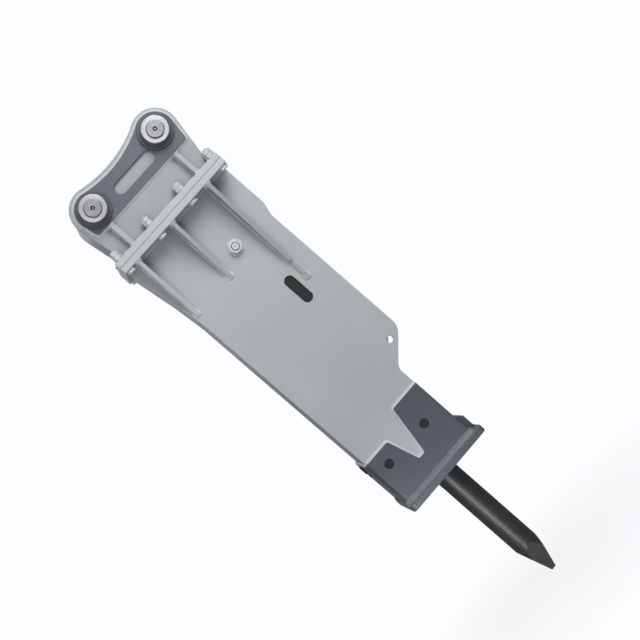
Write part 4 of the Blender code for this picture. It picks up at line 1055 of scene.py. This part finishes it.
def with_flats(mesh):
    """Cut the two flats that the retaining pins run in."""
    low, high = TOOL_FLAT_Z
    width = 0.04
    size = Matrix.Diagonal((width, 0.2, high - low, 1.0))
    shape = bmesh.new()
    for sign in (-1, 1):
        centre = Matrix.Translation((sign * (TOOL_FLAT_X + width / 2), 0.0, (low + high) / 2))
        bmesh.ops.create_cube(shape, size=1.0, matrix=centre @ size)
    boxes = written(shape, bpy.data.meshes.new("boxes"))
    made = [linked("uncut", mesh), linked("boxes", boxes)]
    cut = made[0].modifiers.new("flats", "BOOLEAN")
    cut.operation = "DIFFERENCE"
    cut.solver = "EXACT"
    cut.object = made[1]
    result = evaluated_mesh(made[0])
    for item in made:
        bpy.data.objects.remove(item, do_unlink=True)
    return result


def build_tool():
    """Round shank with retaining flats and a four-sided point."""
    low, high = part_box("tool")
    radius = TOOL_RADIUS
    profile = rounded([(0.0, high.z, 0), (radius, high.z, 0.006), (radius, low.z, 0), (0.0, low.z, 0)])
    levels = [(radius, high.z - 0.3 * step) for step in range(1, 4)]
    mesh = lathe(profile[:-2] + levels + profile[-2:], steps=96)
    shape = bmesh.new()
    shape.from_mesh(mesh)
    slope = math.atan2(radius - TOOL_TIP_HALF, TOOL_SHOULDER_Z - low.z)
    for quarter in range(4):
        turn = Matrix.Rotation(math.radians(90 * quarter), 3, "Z")
        normal = turn @ Vector((math.cos(slope), 0, -math.sin(slope)))
        edge = turn @ Vector((TOOL_TIP_HALF, 0, low.z))
        cut = cut_along(shape, edge, normal, clear_outer=True, dist=0.00001)
        rim = [item for item in cut["geom_cut"] if isinstance(item, bmesh.types.BMEdge)]
        bmesh.ops.contextual_create(shape, geom=rim)
    bmesh.ops.recalc_face_normals(shape, faces=shape.faces)
    chisel = with_flats(written(shape, mesh))
    show("chisel", chisel, "tool_steel", ["tool"], body="working_tool", sharp=12.0, weighted=False)


# ---------------------------------------------------------------- stage, lights, camera

VIEW_TARGET = Vector((0.167, 0.0, -1.215))
VIEW_DISTANCE = 7.58
VIEW_AZIMUTH = math.radians(-5.9)
VIEW_ELEVATION = math.radians(2.0)
VIEW_ROLL = math.radians(-48.7)
LENS = 81.9
FLOOR_DROP = 0.02
BACKGROUND = (0.97, 0.98, 1.0, 1.0)


def build_camera():
    """The camera stands level with the middle of the hammer and is rolled to one side."""
    flat = math.cos(VIEW_ELEVATION)
    back = Vector((math.sin(VIEW_AZIMUTH) * flat, -math.cos(VIEW_AZIMUTH) * flat, math.sin(VIEW_ELEVATION)))
    data = bpy.data.cameras.new("camera")
    data.lens = LENS
    data.sensor_width = 36.0
    camera = linked("camera", data)
    turn = (-back).to_track_quat("-Z", "Y").to_matrix() @ Matrix.Rotation(VIEW_ROLL, 3, "Z")
    camera.matrix_world = Matrix.Translation(VIEW_TARGET + back * VIEW_DISTANCE) @ turn.to_4x4()
    bpy.context.scene.camera = camera


def area_light(name, direction, distance, size, power, tall=None, aim=VIEW_TARGET, spread=180.0):
    """A soft rectangular light that looks at a point from a direction."""
    data = bpy.data.lights.new(name, "AREA")
    data.shape = "RECTANGLE"
    data.size = size
    data.size_y = tall or size
    data.energy = power
    data.spread = math.radians(spread)
    light = linked(name, data)
    toward = Vector(direction).normalized()
    light.location = aim + toward * distance
    light.rotation_mode = "QUATERNION"
    light.rotation_quaternion = (-toward).to_track_quat("-Z", "Y")
    light.visible_camera = False


def build_stage():
    """Pale floor under the point, a white room, a big key light and weaker fills."""
    low = cad_box[0].z - FLOOR_DROP
    shape = bmesh.new()
    bmesh.ops.create_circle(shape, cap_ends=True, radius=60.0, segments=96)
    bmesh.ops.translate(shape, vec=(0, 0, low), verts=shape.verts)
    floor = linked("floor", written(shape, bpy.data.meshes.new("floor")))
    made = Shader("floor_surface", 0.9, specular=0.1)
    cloud = made.patches((0.8, 3.0), 0.3, 0.7)
    made.link(made.mix(cloud, (0.39, 0.395, 0.40), (0.41, 0.415, 0.42)), "Base Color")
    glow = made.add("ShaderNodeEmission", {"Color": BACKGROUND, "Strength": 1.0}).outputs[0]
    flat = made.add("ShaderNodeMapping", {"Vector": made.place, "Scale": (1.0, 1.0, 0.0)}).outputs["Vector"]
    reach = made.add("ShaderNodeVectorMath", {0: flat}, operation="LENGTH").outputs["Value"]
    fade = made.spread(reach, 0.25, 1.30, 0.88, 1.0)
    seen = made.add("ShaderNodeLightPath").outputs["Is Camera Ray"]
    blend = made.add("ShaderNodeMixShader", {0: made.times(fade, seen), 1: made.shader.outputs[0], 2: glow})
    made.tree.links.new(blend.outputs[0], made.tree.nodes["Material Output"].inputs["Surface"])
    floor.data.materials.append(made.material)

    world = bpy.data.worlds.new("room")
    world.use_nodes = True
    bpy.context.scene.world = world
    tree = world.node_tree
    choose = tree.nodes.new("ShaderNodeMixShader")
    seen = tree.nodes.new("ShaderNodeLightPath")
    tree.links.new(seen.outputs["Is Camera Ray"], choose.inputs[0])
    for slot, node, colour, strength in (
            (1, tree.nodes["Background"], (0.93, 0.96, 1.0, 1.0), 0.29),
            (2, tree.nodes.new("ShaderNodeBackground"), BACKGROUND, 1.0)):
        node.inputs["Color"].default_value = colour
        node.inputs["Strength"].default_value = strength
        tree.links.new(node.outputs[0], choose.inputs[slot])
    tree.links.new(choose.outputs[0], tree.nodes["World Output"].inputs["Surface"])

    area_light("key", (0.40, -0.80, 0.66), 6.0, 3.2, 262.0)
    area_light("front", (-0.35, -1.0, 0.03), 7.0, 2.4, 85.0)
    area_light("tool_strip", (-0.47, -0.88, 0.0), 1.0, 0.18, 2.2, 0.72, Vector((0, 0, -2.62)), 80.0)
    area_light("left", (-1.0, -0.35, -0.30), 6.0, 1.0, 1.2, aim=Vector((-0.3, 0, -0.35)), spread=20.0)
    area_light("back", (-0.4, 1.0, 0.7), 7.0, 3.0, 150.0)
    bpy.context.scene.view_settings.view_transform = "Standard"


dress_cad_nodes()
build_bracket()
build_housing()
build_tool()
build_camera()
build_stage()
